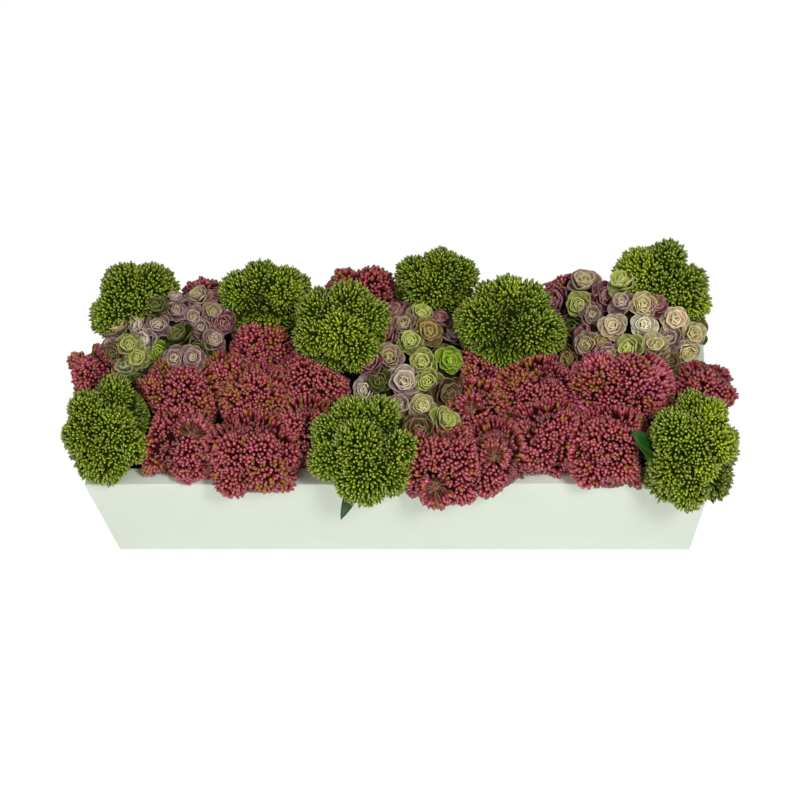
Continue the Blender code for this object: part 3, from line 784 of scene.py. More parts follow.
def bud_finish(name, settings, neck, roughness, tip_from):
    """Soft plastic of the buds: a dark neck, partly painted shade between the buds, a side in each bud's own tint
    with painted shade in the valleys, and a lighter tip, partly a painted highlight.
    """
    material, tree, shader = new_finish(name, roughness)
    along, draw, plain = attribute_parts(tree, "bud")
    # the tint layer holds each bud's own tint darkened by painted valley shade, and the third part of the bud
    # layer, how much of the tip colour a bud takes, is lowered by the same painted shade
    tint = attribute(tree, "bud_tint")
    # painted shade: the neck end of each bud is darker; painted highlight: the tip end takes the lighter tip colour
    body = mix_colours(tree, spread_range(tree, along, *NECK_TO_SIDE), neck, tint)
    tip_colour_and_highlight = mix_colours(tree, multiply(tree, plain, TIP_SHARE), tint, settings.tip)
    colour = mix_colours(tree, spread_range(tree, along, tip_from, 1.0, 0.0, TIP_STRENGTH), body, tip_colour_and_highlight)
    tone = spread_range(tree, draw, 0.0, 1.0, *BUD_TONES)
    paint(tree, shader, colour, multiply(tree, tone, mottle(tree, scale=420.0, low=0.84, high=1.1)))
    return material


def plain_plant_finish(name, colour, roughness):
    """Matte plastic of stalks and of the inside of a head, whose dark colour there is painted shade."""
    material, tree, shader = new_finish(name, roughness)
    shader.inputs["Specular IOR Level"].default_value = 0.1
    paint(tree, shader, colour, mottle(tree, scale=260.0, low=0.6, high=1.25))
    return material


def petal_finish():
    """Petals of a rosette: inner to outer tint, a lighter rim that is partly a painted highlight, and a tone by
    place, whorl and petal that paints shade at the feet and on the skirt and light at the tips.
    """
    material, tree, shader = new_finish("rosette_petals", roughness=0.34)
    along, edge, rank = attribute_parts(tree, "petal")
    own_tone = add_node(tree, "ShaderNodeAttribute", attribute_name="petal").outputs["Alpha"]
    outward = spread_range(tree, rank, *INNER_TO_OUTER)
    colour = mix_colours(tree, outward, attribute(tree, "inner_tint"), attribute(tree, "outer_tint"))
    # the lighter rim tint is partly the petals' own pale edge colour and partly a painted highlight along their
    # edges
    colour = mix_colours(tree, spread_range(tree, edge, *RIM_REACH), colour, attribute(tree, "rim_tint"))
    # painted shade: the foot of each petal and the skirt are darker, and painted light makes the tips brighter
    depth = multiply(tree, spread_range(tree, along, *FOOT_SHADE_TO_TIP_LIGHT), spread_range(tree, rank, *SKIRT_SHADE_TONES))
    depth = multiply(tree, depth, spread_range(tree, own_tone, 0.0, 1.0, *PETAL_TONES))
    paint(tree, shader, colour, multiply(tree, depth, mottle(tree, scale=190.0, low=0.86, high=1.10)))
    add_grain(tree, shader, scale=700.0, strength=0.12, depth=0.0003)
    return material


def leaf_finish(settings):
    """Waxy leaf with a pale midrib."""
    material, tree, shader = new_finish("leaf", roughness=0.35)
    rib = spread_range(tree, attribute_parts(tree, "bud")[1], *RIB_REACH)
    colour = mix_colours(tree, rib, settings.leaf, settings.midrib)
    paint(tree, shader, colour, mottle(tree, scale=150.0, low=0.8, high=1.15))
    return material


# Spaces and directions, by the same rules as the frame's own pieces

def stem_foot(head):
    """Where a head's stem enters the foam."""
    limit_x = FOAM_HIGH.x - STEM_EDGE_MARGIN
    limit_y = FOAM_HIGH.y - STEM_EDGE_MARGIN
    x = max(-limit_x, min(limit_x, FOOT_SHARE_X * head.centre[0]))
    y = max(-limit_y, min(limit_y, FOOT_SHARE_Y * head.centre[1]))
    return Vector((x, y, FOAM_HIGH.z))


def head_turn(head):
    """Rotation that stands a head on its stem."""
    return (Vector(head.centre) - stem_foot(head)).to_track_quat("Z", "Y")


def rim_planes(head):
    """Planes that hold a head above the foam, and above the lip or the rim where it reaches over them."""
    planes = [(Vector((0, 0, -1)), -(FOAM_HIGH.z + RIM_GAP))]
    sides = ((Vector((1, 0, 0)), PLANTER_HIGH.x), (Vector((0, 1, 0)), PLANTER_HIGH.y))
    for across, edge in sides:
        for sign in (1, -1):
            outward = across * sign
            reach = outward.dot(Vector(head.centre)) + head.radius * head.width
            if reach < edge - LIP_WIDTH:
                continue
            slope = OVERHANG_SLOPE if reach > edge + RIM_GAP else 0
            normal = -(Vector((0, 0, math.cos(slope))) + outward * math.sin(slope))
            rim = outward * edge + Vector((0, 0, PLANTER_HIGH.z))
            planes.append((normal, normal.dot(rim) - RIM_GAP))
    return planes


def neighbour_planes(head):
    """Planes half way to the balls round a head."""
    planes = []
    start = Vector(head.centre)
    for other in EVERYTHING:
        line = Vector(other.centre) - start
        if other is head or line.length >= NEIGHBOUR_REACH * (head.radius + other.radius):
            continue
        normal = line.normalized()
        share = (line.length ** 2 + head.radius ** 2 - other.radius ** 2) / (2 * line.length)
        planes.append((normal, normal.dot(start) + share - HEAD_GAP / 2))
    return planes


def space_planes(head):
    """Every plane that bounds a head's own space."""
    return rim_planes(head) + neighbour_planes(head)


def inside_shares(origin, points, planes, slack=0.0):
    """How much of the way from the origin to each point lies inside every plane, at most 1."""
    shares = np.ones(len(points))
    ways = points - np.array(origin)
    for normal, limit in planes:
        room = max(0.0, limit + slack - normal.dot(Vector(origin)))
        need = ways @ np.array(normal)
        shares = np.where(need > room, np.minimum(shares, room / np.maximum(need, TINY)), shares)
    return shares


def spiral(count):
    """Evenly spread directions over a whole ball."""
    steps = np.arange(count) + 0.5
    height = 1 - 2 * steps / count
    across = np.sqrt(1 - height ** 2)
    return np.stack((across * np.cos(GOLDEN_ANGLE * steps), across * np.sin(GOLDEN_ANGLE * steps), height), 1)


def normalised(vectors):
    return vectors / np.maximum(np.linalg.norm(vectors, axis=1, keepdims=True), TINY)


def lengths(vectors):
    return np.linalg.norm(vectors, axis=-1)


def tilted(tilt, turn):
    """Direction at a tilt from straight up, turned about it."""
    return Vector((math.sin(tilt) * math.cos(turn), math.sin(tilt) * math.sin(turn), math.cos(tilt)))


def facing(directions, rolls):
    """Rotation matrices that take +Z to each direction, rolled about it."""
    leaning = np.abs(directions[:, 2:3]) < UPRIGHT
    helper = np.where(leaning, np.array([[0.0, 0.0, 1.0]]), np.array([[1.0, 0.0, 0.0]]))
    side = normalised(np.cross(helper, directions))
    other = np.cross(directions, side)
    cos, sin = np.cos(rolls)[:, None], np.sin(rolls)[:, None]
    x_axis = cos * side + sin * other
    return np.stack((x_axis, np.cross(directions, x_axis), directions), axis=2)


# Lines of sight of the photograph

def camera_axes():
    """The camera's right, up and forward directions, and its place."""
    forward = Vector((-math.sin(CAMERA_YAW) * math.cos(CAMERA_ELEVATION),
                      math.cos(CAMERA_YAW) * math.cos(CAMERA_ELEVATION), -math.sin(CAMERA_ELEVATION)))
    level = Vector((math.cos(CAMERA_YAW), math.sin(CAMERA_YAW), 0))
    above = level.cross(forward)
    right = math.cos(CAMERA_ROLL) * level + math.sin(CAMERA_ROLL) * above
    up = -math.sin(CAMERA_ROLL) * level + math.cos(CAMERA_ROLL) * above
    return right, up, forward, CAMERA_AIM - forward * CAMERA_DISTANCE


def picture_scale():
    """Focal length in pixels of the square picture."""
    return CAMERA_LENS / SENSOR_WIDTH * PICTURE_SIDE


def in_picture(place):
    """Where a place falls in the square picture, in pixels, and how far it is from the camera."""
    right, up, forward, eye = camera_axes()
    line = place - eye
    depth = line.dot(forward)
    scale = picture_scale() / depth
    middle = PICTURE_SIDE / 2
    return Vector((middle + scale * line.dot(right), middle - scale * line.dot(up))), depth


def on_ball(spot, centre, radius):
    """Where the camera sees a pixel on a ball, or the ball's nearest place to that line of sight, and its miss."""
    right, up, forward, eye = camera_axes()
    middle = PICTURE_SIDE / 2
    ray = (forward * picture_scale() + right * (spot[0] - middle) - up * (spot[1] - middle)).normalized()
    nearest = eye + ray * (centre - eye).dot(ray)
    away = nearest - centre
    if away.length < radius:
        return nearest - ray * math.sqrt(radius ** 2 - away.length_squared), 0.0
    return centre + away.normalized() * radius, away.length - radius


def sight_cost(place, miss):
    """How far a place is from the camera, with its miss of the line of sight counted more."""
    _, _, forward, eye = camera_axes()
    return MISS_WEIGHT * miss + (place - eye).dot(forward)


# Umbels

def seen_umbels(heads, spots_by_kind):
    """Umbels that the photograph shows, given to the head in front at their pixel; the side ones stand forward."""
    seen = {head.node: [] for head in heads}
    forward = camera_axes()[2]
    for kind, spots in spots_by_kind.items():
        for x, y, radius in spots:
            found = []
            for head in heads:
                centre = Vector(head.centre)
                middle_pixel, depth = in_picture(centre)
                inward = middle_pixel - Vector((x, y))
                spot = Vector((x, y)) + inward * min(1, (UMBEL_SPREAD - 1) * radius / inward.length)
                size = min(UMBEL_SPREAD * radius * depth / picture_scale(), WIDEST_UMBEL * head.radius)
                place, miss = on_ball(spot, centre, head.radius - size)
                found.append((sight_cost(place, miss), head, place - centre, size))
            _, head, line, size = min(found, key=lambda entry: entry[0])
            sideways = 1 - (line.dot(forward) / max(line.length, TINY)) ** 2
            line -= forward * LOBE_PUSH * size * sideways
            middle = np.array(line) / np.array([head.width, 1, 1])
            seen[head.node].append(Umbel(middle, size, kind))
    return seen


def umbels_of(head, bloom, seen, draw):
    """A head's umbels: those seen, and over the rest of it one on top and two rings below."""
    turn = head_turn(head)
    to_camera = -np.array(camera_axes()[2])
    places = [(0, head.turn)]
    for row, (tilt, extra) in enumerate(bloom.rings):
        count = head.lobes + extra
        places += [(tilt, head.turn + 360 * (i + 0.5 * row) / count) for i in range(count)]
    umbels = list(seen)
    for tilt, angle in places:
        tilt = math.radians(tilt + draw.uniform(*UMBEL_TILT_DRAW))
        angle = math.radians(angle + draw.uniform(*UMBEL_TURN_DRAW))
        radius = bloom.radius * head.radius * draw.uniform(*UMBEL_SIZE_DRAW)
        distance = bloom.offset * head.radius * draw.uniform(*UMBEL_DISTANCE_DRAW)
        middle = np.array(distance * (turn @ tilted(tilt, angle)))
        kind = draw.choice(HIDDEN_KINDS)
        if seen and middle @ to_camera > FRONT_SHARE * np.linalg.norm(middle):
            continue
        if all(lengths(middle - other.middle) > UMBEL_GAP * head.radius for other in seen):
            umbels.append(Umbel(middle, radius, kind))
    return umbels


def umbel_reach(directions, umbels):
    """Distance from a head's middle to the surface of its umbels, along each direction."""
    reach = np.zeros(len(directions))
    for umbel in umbels:
        along = directions @ umbel.middle
        inside = along ** 2 - umbel.middle @ umbel.middle + umbel.radius ** 2
        reach = np.maximum(reach, np.where(inside > 0, along + np.sqrt(np.maximum(inside, 0)), 0))
    return reach


def head_reach(directions, head, umbels, bloom):
    """Distance from a head's middle to its surface: its umbels, no lower than its valleys and its seams' ridges."""
    centre = Vector(head.centre)
    nearest = np.full(len(directions), np.inf)
    for normal, limit in neighbour_planes(head):
        room = max(0.0, limit - normal.dot(centre))
        need = (directions * np.array([head.width, 1, 1])) @ np.array(normal)
        nearest = np.minimum(nearest, np.where(need > TINY, room / np.maximum(need, TINY), np.inf))
    crest = RIDGE_FOOT + (bloom.ridge - RIDGE_FOOT) * np.clip(directions[:, 2] / RIDGE_RISE, 0, 1)
    ridge = crest - RIDGE_FALL * np.maximum(nearest / head.radius - 1, 0)
    return np.maximum(umbel_reach(directions, umbels), np.maximum(ridge, bloom.valley) * head.radius)


# Planter and foam

def model_planter(settings):
    """Tapered box with a flat inward lip and an open inside."""
    size = PLANTER_HIGH - PLANTER_LOW
    deselect_all()
    bpy.ops.mesh.primitive_cube_add(size=1, location=(0, 0, size.z / 2), scale=size)
    planter = settle(bpy.context.object)
    planter.name = "planter_shell"
    bpy.ops.object.mode_set(mode="EDIT")

    def taper_scale(half_from, half_to, z):
        """Scale the picked face so that its half length and half width change as given."""
        bpy.ops.transform.resize(value=(half_to[0] / half_from[0], half_to[1] / half_from[1], 1),
                                 center_override=(0, 0, z))

    def half_size(z, inset):
        draw_in = SIDE_TAPER * (1 - z / size.z) + inset
        return size.x / 2 - draw_in, size.y / 2 - draw_in

    def push_down(z_from, z_to, half_from, half_to):
        bpy.ops.mesh.extrude_region_move(TRANSFORM_OT_translate={"value": (0, 0, z_to - z_from)})
        taper_scale(half_from, half_to, z_to)

    pick(planter, "faces", lambda face: face.normal.z < -UPRIGHT)
    taper_scale(half_size(size.z, 0), half_size(0, 0), 0)
    under_lip = size.z - LIP_THICKNESS
    opening = half_size(size.z, LIP_WIDTH)
    pick(planter, "faces", lambda face: face.normal.z > UPRIGHT)
    push_down(size.z, size.z, half_size(size.z, 0), opening)
    push_down(size.z, under_lip, opening, opening)
    push_down(under_lip, under_lip, opening, half_size(under_lip, WALL))
    push_down(under_lip, FLOOR, half_size(under_lip, WALL), half_size(FLOOR, WALL))

    def on_an_edge(edge):
        """The outer edges, and the rim of the opening."""
        ends = [vert.co for vert in edge.verts]

        def at(value_of, wanted_of):
            return all(abs(value_of(end) - wanted_of(end)) < SAME_PLACE for end in ends)

        if max(end.z for end in ends) < size.z / 2:
            return at(lambda end: end.z, lambda end: 0)
        outer = at(lambda end: abs(end.x), lambda end: half_size(end.z, 0)[0])
        level = at(lambda end: end.z, lambda end: size.z)
        return outer or level and at(lambda end: abs(end.x), lambda end: opening[0])

    pick(planter, "edges", on_an_edge)
    bpy.ops.mesh.bevel(offset=settings.rounding, segments=BEVEL_STEPS, profile=0.5, affect="EDGES")
    bpy.ops.object.mode_set(mode="OBJECT")
    bpy.ops.object.shade_smooth_by_angle(angle=SMOOTH_ANGLE)
    return settle(planter, planter_finish(settings))


# Buds and blooms

def model_bud(length, width, rings, sides=4):
    """One bud, tip up at the origin, drawn out ring by ring from its foot."""
    heights = [-drop * length for drop, _ in rings]
    radii = [share * width / 2 for _, share in rings]
    deselect_all()
    bpy.ops.mesh.primitive_cone_add(vertices=sides, radius1=radii[0], radius2=radii[1],
                                    depth=heights[1] - heights[0], location=(0, 0, (heights[0] + heights[1]) / 2))
    bud = settle(bpy.context.object)
    bpy.ops.object.mode_set(mode="EDIT")
    pick(bud, "faces", lambda face: face.normal.z > UPRIGHT)
    for i in range(2, len(rings)):
        bpy.ops.mesh.extrude_region_move(TRANSFORM_OT_translate={"value": (0, 0, heights[i] - heights[i - 1])})
        grow = radii[i] / radii[i - 1]
        bpy.ops.transform.resize(value=(grow, grow, 1), center_override=(0, 0, heights[i]))
    bpy.ops.mesh.extrude_region_move(TRANSFORM_OT_translate={"value": (0, 0, -heights[-1])})
    bpy.ops.mesh.merge(type="CENTER")
    bpy.ops.object.mode_set(mode="OBJECT")
    return take_shape(bud)


def bud_places(head, settings, umbels, bloom, rolls):
    """Tips, directions and umbel numbers of a head's buds inside its own space, and how deep each lies."""
    centre = np.array(head.centre)
    up = np.array(head_turn(head) @ Vector((0, 0, 1)))
    planes = space_planes(head)
    widen = np.array([head.width, 1, 1])
    to_camera = -np.array(camera_axes()[2])
    tips, ways, numbers = [], [], []

    def evenly(radius, spacing):
        """Directions that lie a spacing apart on a ball, turned by chance."""
        count = round(4 * math.pi * radius ** 2 / (ROW_SHARE * spacing ** 2))
        axis = normalised(rolls.normal(0, 1, (1, 3)))
        directions = spiral(count) @ facing(axis, rolls.uniform(*ANY_TURN, 1))[0].T
        return normalised(directions + rolls.normal(0, SCATTER * spacing / radius, (count, 3)))

    for number, umbel in enumerate(umbels):
        directions = evenly(umbel.radius, settings.spacing)
        if umbel.kind == "open":
            directions = directions[directions @ to_camera < math.cos(OPEN_ANGLE)]
        spots = umbel.middle + directions * umbel.radius
        for i, other in enumerate(umbels):
            if i != number:
                spots = spots[lengths(spots - other.middle) > other.radius - UMBEL_OVERLAP]
        spots = spots[normalised(spots) @ up > math.cos(BUD_LIMIT)]
        tips.append(spots * widen)
        ways.append(normalised(spots - HUB_SHARE * umbel.middle))
        numbers.append(np.full(len(spots), number))
    tips, ways, numbers = np.concatenate(tips), np.concatenate(ways), np.concatenate(numbers)
    tips += ways * np.clip(rolls.normal(*TIP_DRAW, (len(tips), 1)), *TIP_LIMITS)
    shares = inside_shares(centre, centre + tips, planes, slack=SEAM_SLACK)
    kept = shares > LEAST_SHARE
    tips, ways, numbers = (tips * shares[:, None])[kept], ways[kept], numbers[kept]

    # buds in the valleys between the umbels, and along the walls of the neighbours
    directions = evenly(head.radius, settings.spacing)
    directions = directions[directions @ up > math.cos(BUD_LIMIT)]
    reach = head_reach(directions, head, umbels, bloom) - FILL_DROP
    fill = directions * reach[:, None] * widen
    shares = inside_shares(centre, centre + fill, planes, slack=SEAM_SLACK)
    fill *= shares[:, None]
    gaps = np.min(lengths(fill[:, None] - tips[None]), axis=1)
    owners = np.argmin(lengths(fill[:, None] - np.array([umbel.middle for umbel in umbels])), axis=1)
    wanted = (gaps > FILL_GAP * settings.spacing) & (shares > LEAST_FILL_SHARE)
    for number, umbel in enumerate(umbels):
        if umbel.kind == "open":
            line = fill - umbel.middle
            outside = lengths(line) > umbel.radius
            wanted &= (owners != number) | outside | (normalised(line) @ to_camera < math.cos(OPEN_ANGLE))
    tips, ways = np.concatenate((tips, fill[wanted])), np.concatenate((ways, directions[wanted]))
    height = lengths(tips / widen) / head.radius
    deep = 1 - np.clip((height - VALLEY_FLOOR) / (VALLEY_TOP - VALLEY_FLOOR), 0, 1)
    tips = centre + tips
    numbers = np.concatenate((numbers, owners[wanted]))
    shows = np.ones(len(tips), dtype=bool)
    for other in EVERYTHING:
        if other is not head:
            away = lengths(tips + HIDDEN_STEP * ways - np.array(other.centre))
            shows &= away > HIDDEN_SHARE * other.radius
    return tips[shows], ways[shows], numbers[shows], deep[shows]


def make_buds(head, settings, umbels, bloom, shapes, materials, opened):
    """Buds of one head, copied from the modelled one: those of its open umbels, or those of all others."""
    rolls = np.random.default_rng(round(SEED_STEP * (1 + head.centre[0] + 2 * head.centre[1])))
    places = bud_places(head, settings, umbels, bloom, rolls)
    kept = np.array([(umbels[number].kind == "open") == opened for number in places[2]])
    tips, ways, numbers, deep = (values[kept] for values in places)
    count = len(tips)
    name = "open_bud" if opened else "bud"
    bud = shapes[name]
    ways = normalised(ways + rolls.normal(0, LEAN_SPREAD, (count, 3)))
    turns = facing(ways, rolls.uniform(0, 2 * math.pi, count))
    wide = rolls.uniform(*BUD_WIDTH_DRAW, count)
    long = rolls.uniform(*BUD_LENGTH_DRAW, count)
    sizes = np.stack((wide, wide, long), axis=1)
    corners = np.einsum("nij,nvj->nvi", turns, bud.verts[None] * sizes[:, None]) + tips[:, None]

    chances = np.array([BUD_CHANCES[umbels[number].kind] for number in numbers])
    colours = (rolls.uniform(0, 1, (count, 1)) > np.cumsum(chances, axis=1)).sum(axis=1).clip(0, 3)
    tints = np.array([settings.side, settings.second, settings.patch, settings.pale])[colours]
    umbel_tones = rolls.uniform(*UMBEL_TONE_DRAW, len(umbels))
    shift = np.clip(umbel_tones[numbers] + rolls.normal(0, TONE_SPREAD, count), 0, 1)[:, None]
    tints = np.where(colours[:, None] == 0, (1 - shift) * tints + shift * np.array(settings.second), tints)
    # painted shade: buds deep in the valleys between umbels get a darker tint and take less of their lighter tip
    tone = 1 - (1 - VALLEY_SHADE_TONE) * deep
    values, tint_and_shade_values = np.ones((2, count, len(bud.verts), 4))
    values[:, :, 0] = np.clip(1 + bud.verts[:, 2] / -bud.verts[:, 2].min(), 0, 1)
    values[:, :, 1] = rolls.uniform(0, 1, (count, 1))
    values[:, :, 2] = (np.where(colours == PATCH, PATCH_TIP, 1) * tone)[:, None]
    tint_and_shade_values[:, :, :3] = (tints * tone[:, None])[:, None]
    return add_copies(f"{head.node}_{name}s", corners.reshape(-1, 3), bud, materials[name],
                      bud=values, bud_tint=tint_and_shade_values)


def model_heart(head, umbels, bloom, material):
    """The inside of a head, standing in for its pedicels, dark with painted shade, from which the buds stand out.
    """
    opened = [umbel for umbel in umbels if umbel.kind == "open"]
    drawn_in = [umbel._replace(radius=OPEN_HEART * umbel.radius) if umbel.kind == "open" else umbel
                for umbel in umbels]
    rolls = np.random.default_rng(len(umbels))

    def offsets(directions):
        reach = head_reach(directions, head, drawn_in, bloom)
        for umbel in opened:
            facing_it = directions @ normalised(umbel.middle[None])[0] > OPEN_HOLLOW
            reach = np.where(facing_it, np.minimum(reach, lengths(umbel.middle)), reach)
        reach += rolls.normal(0, HEART_SPREAD, len(directions)) - HEART_DEPTH
        return directions * reach[:, None] * np.array([head.width, 1, 1])

    return model_core(head, HEART_FINENESS, offsets, -HEART_DEPTH / 2, material)


def branch(start, end, radii):
    """A path that sags a little between its ends."""
    sag = Vector((0, 0, BRANCH_SAG * (end - start).length))
    return [start, start.lerp(end, 0.5) - sag, end], radii


def grow_stalks(name, paths, material):
    """Tubes along the paths, each a list of points and their radii, as one mesh."""
    curve = bpy.data.curves.new(name, "CURVE")
    curve.dimensions = "3D"
    curve.bevel_depth = 1.0
    curve.bevel_resolution = 1
    curve.use_fill_caps = True
    for points, radii in paths:
        spline = curve.splines.new("POLY")
        spline.points.add(len(points) - 1)
        for spot, place, radius in zip(spline.points, points, radii):
            spot.co = (*place, 1)
            spot.radius = radius
    make_active(add_object(curve))
    bpy.ops.object.convert(target="MESH")
    stalks = bpy.context.object
    bpy.ops.object.mode_set(mode="EDIT")
    bpy.ops.mesh.select_all(action="SELECT")
    bpy.ops.mesh.remove_doubles(threshold=SAME_PLACE)
    bpy.ops.mesh.normals_make_consistent(inside=False)
    bpy.ops.object.mode_set(mode="OBJECT")
    return settle(stalks, material)


def stem_path(head, top):
    """The stem from its hole in the foam, past its bend, to the top."""
    foot = stem_foot(head)
    bottom = foot - Vector((0, 0, STEM_FOOT_DEPTH))
    bend = Vector((foot.x, foot.y, STEM_BEND_HEIGHT))
    points = [bottom, foot, foot.lerp(bend, BEND_START), bend, bend.lerp(Vector(top), 0.5), Vector(top)]
    return points, [STEM_RADIUS] * len(points)


def model_leaf(head, points, width, material):
    """A thin pointed leaf, folded along its midrib and bent from its stem through its middle to its tip."""
    deselect_all()
    bpy.ops.mesh.primitive_grid_add(x_subdivisions=LEAF_ROWS[0], y_subdivisions=LEAF_ROWS[1], size=1,
                                    location=(0, 0, 0))
    leaf = bpy.context.object
    start = Vector(head.centre).lerp(stem_foot(head), LEAF_ROOT_SHARE)
    middle, tip = (Vector(point) for point in points)
    across = (tip - start).cross(Vector((0, 0, 1))).normalized()
    control = 2 * middle - (start + tip) / 2
    values = np.zeros((len(leaf.data.vertices), 4))
    for i, vert in enumerate(leaf.data.vertices):
        along, side = vert.co.y + 0.5, 2 * vert.co.x
        spot = (1 - along) ** 2 * start + 2 * along * (1 - along) * control + along ** 2 * tip
        ahead = (2 * (1 - along) * (control - start) + 2 * along * (tip - control)).normalized()
        up = across.cross(ahead)
        swell = min(1, LEAF_START + LEAF_SWELL * along ** LEAF_ROUND)
        half = width / 2 * math.sin(math.pi * swell) ** LEAF_ROUND + LEAF_TIP
        fold = LEAF_FOLD * half * side ** 2 + LEAF_WAVE * math.sin(LEAF_WAVES * along + 2 * side) * abs(side)
        vert.co = spot + across * side * half + up * fold
        values[i, :2] = along, abs(side)
    add_layers(leaf.data, bud=values)
    thicken(leaf, LEAF_THICKNESS, 0)
    return settle(leaf, material)


def make_bloom(head, settings, umbels, bloom, shapes, materials, slot):
    """One sedum head: buds over a heart darkened as painted shade, on a stem that branches to every umbel."""
    pieces = [make_buds(head, settings, umbels, bloom, shapes, materials, False)]
    if any(umbel.kind == "open" for umbel in umbels):
        pieces.append(make_buds(head, settings, umbels, bloom, shapes, materials, True))
    pieces.append(model_heart(head, umbels, bloom, materials["heart"]))
    centre, foot = Vector(head.centre), stem_foot(head)
    fork = centre.lerp(foot, FORK_SHARE * head.radius / (centre - foot).length)
    paths = [stem_path(head, fork)]
    for umbel in umbels:
        hub = centre + HUB_SHARE * Vector(umbel.middle)
        paths.append(branch(fork, hub, BRANCH_RADII))
    pieces.append(grow_stalks(head.node + "_stalks", paths, materials["stalk"]))
    for node, points, width in LEAVES:
        if node == head.node:
            pieces.append(model_leaf(head, points, width, materials["leaf"]))
    hand_over(join_pieces(pieces, head.node + "_bloom"), slot, head.node)


def make_heads(heads, spots_by_kind, bloom, settings, shapes, materials, slot):
    """Every head of one colour."""
    seen = seen_umbels(heads, spots_by_kind)
    for head in heads:
        umbels = umbels_of(head, bloom, seen[head.node], random.Random(head.node))
        make_bloom(head, settings, umbels, bloom, shapes, materials, slot)


# Rosettes

def petal_half_width(along):
    """Half the width of a petal at a place along it: broad, with a round end."""
    if along < PETAL_WIDEST:
        return PETAL_HALF_WIDTH * (PETAL_FOOT + PETAL_GROWTH * math.sin(0.5 * math.pi * along / PETAL_WIDEST))
    end = (along - PETAL_WIDEST) / (1 - PETAL_WIDEST)
    return PETAL_HALF_WIDTH * math.sqrt(max(PETAL_END, 1 - end ** PETAL_BLUNT))


def model_petal(settings):
    """One cupped petal with a broad round end, lying along +Y with its inner face up, one unit long."""
    deselect_all()
    bpy.ops.mesh.primitive_grid_add(x_subdivisions=PETAL_ROWS, y_subdivisions=PETAL_ROWS, size=1,
                                    location=(0, 0, 0))
    petal = bpy.context.object
    for vert in petal.data.vertices:
        along, side = 1 - (0.5 - vert.co.y) ** PETAL_CROWDING, 2 * vert.co.x
        half = petal_half_width(along)
        round_end = PETAL_ROUND * side ** 2 * along
        height = PETAL_CUP * half * side ** 2 + PETAL_RISE * along ** 2
        vert.co = Vector((side * half, along - round_end, height))
    thicken(petal, settings.thickness / ROSETTE_RADIUS, -1)
    return take_shape(petal)


def spread_rosettes():
    """Middles of all rosettes: one on top of each sprig and a ring round it."""
    spots = []
    for sprig in SPRIGS:
        spots.append([sprig, Vector((0, 0, 1))])
        for i in range(sprig.lobes):
            spots.append([sprig, tilted(RING_TILT, math.radians(sprig.turn) + 2 * math.pi * i / sprig.lobes)])
    return spots


def rosette_places():
    """Sprig, place and direction of every rosette, eased apart from each other and from the heads."""
    spots = spread_rosettes()
    walls = {sprig.node: neighbour_planes(sprig) + rim_planes(sprig) for sprig in SPRIGS}
    for _ in range(EASING_STEPS):
        places = [Vector(sprig.centre) + way * SPRIG_RADIUS for sprig, way in spots]
        for i, (sprig, _) in enumerate(spots):
            push = Vector()
            for j, other in enumerate(places):
                line = places[i] - other
                if i != j and line.length < ROSETTE_SPACING:
                    push += line.normalized() * (ROSETTE_SPACING - line.length) / 2
            for normal, limit in walls[sprig.node]:
                over = normal.dot(places[i]) + ROSETTE_ROOM - limit
                if over > 0:
                    push -= normal * over / 2
            moved = places[i] + push - Vector(sprig.centre)
            moved.z = max(moved.z, LOWEST_ROSETTE)
            spots[i][1] = moved.normalized()
    return [[sprig, Vector(sprig.centre) + way * SPRIG_RADIUS, way] for sprig, way in spots]


def place_rosettes():
    """Sprig, place, direction and tint of every rosette: those the photograph shows, and some on the bare sides."""
    forward = camera_axes()[2]
    rosettes = []
    for tint, (*_, spots) in ROSETTE_TINTS.items():
        for spot in spots:
            found = []
            for sprig in SPRIGS:
                centre = Vector(sprig.centre)
                place, miss = on_ball(spot, centre, SPRIG_RADIUS)
                place += (place - centre).normalized() * min(miss, LONGEST_REACH)
                found.append((sight_cost(place, miss), sprig, place))
            _, sprig, place = min(found, key=lambda entry: entry[0])
            way = (place - Vector(sprig.centre)).normalized()
            rosettes.append((sprig, clear_of_heads(place, -forward), way, tint))
    draw = random.Random("tints")
    for sprig, place, way in rosette_places():
        if all((place - other[1]).length > FILL_ROSETTE_GAP for other in rosettes):
            tint = draw.choice(FILL_TINTS if way.dot(forward) < 0 else HIDDEN_TINTS)
            rosettes.append((sprig, place - FILL_SINK * way, way, tint))
    return rosettes


def clear_of_heads(place, outward):
    """A rosette's place, moved outward as far as it takes to come out of the heads beside it."""
    start = place
    for head in GREEN_HEADS + PINK_HEADS:
        line = place - Vector(head.centre)
        room = HEAD_SHARE * head.radius + ROSETTE_SINK
        if line.length < room:
            along = line.dot(outward)
            place = place + outward * (math.sqrt(along ** 2 + room ** 2 - line.length_squared) - along)
    push = min(MOST_PUSH, (place - start).length)
    return start + outward * push


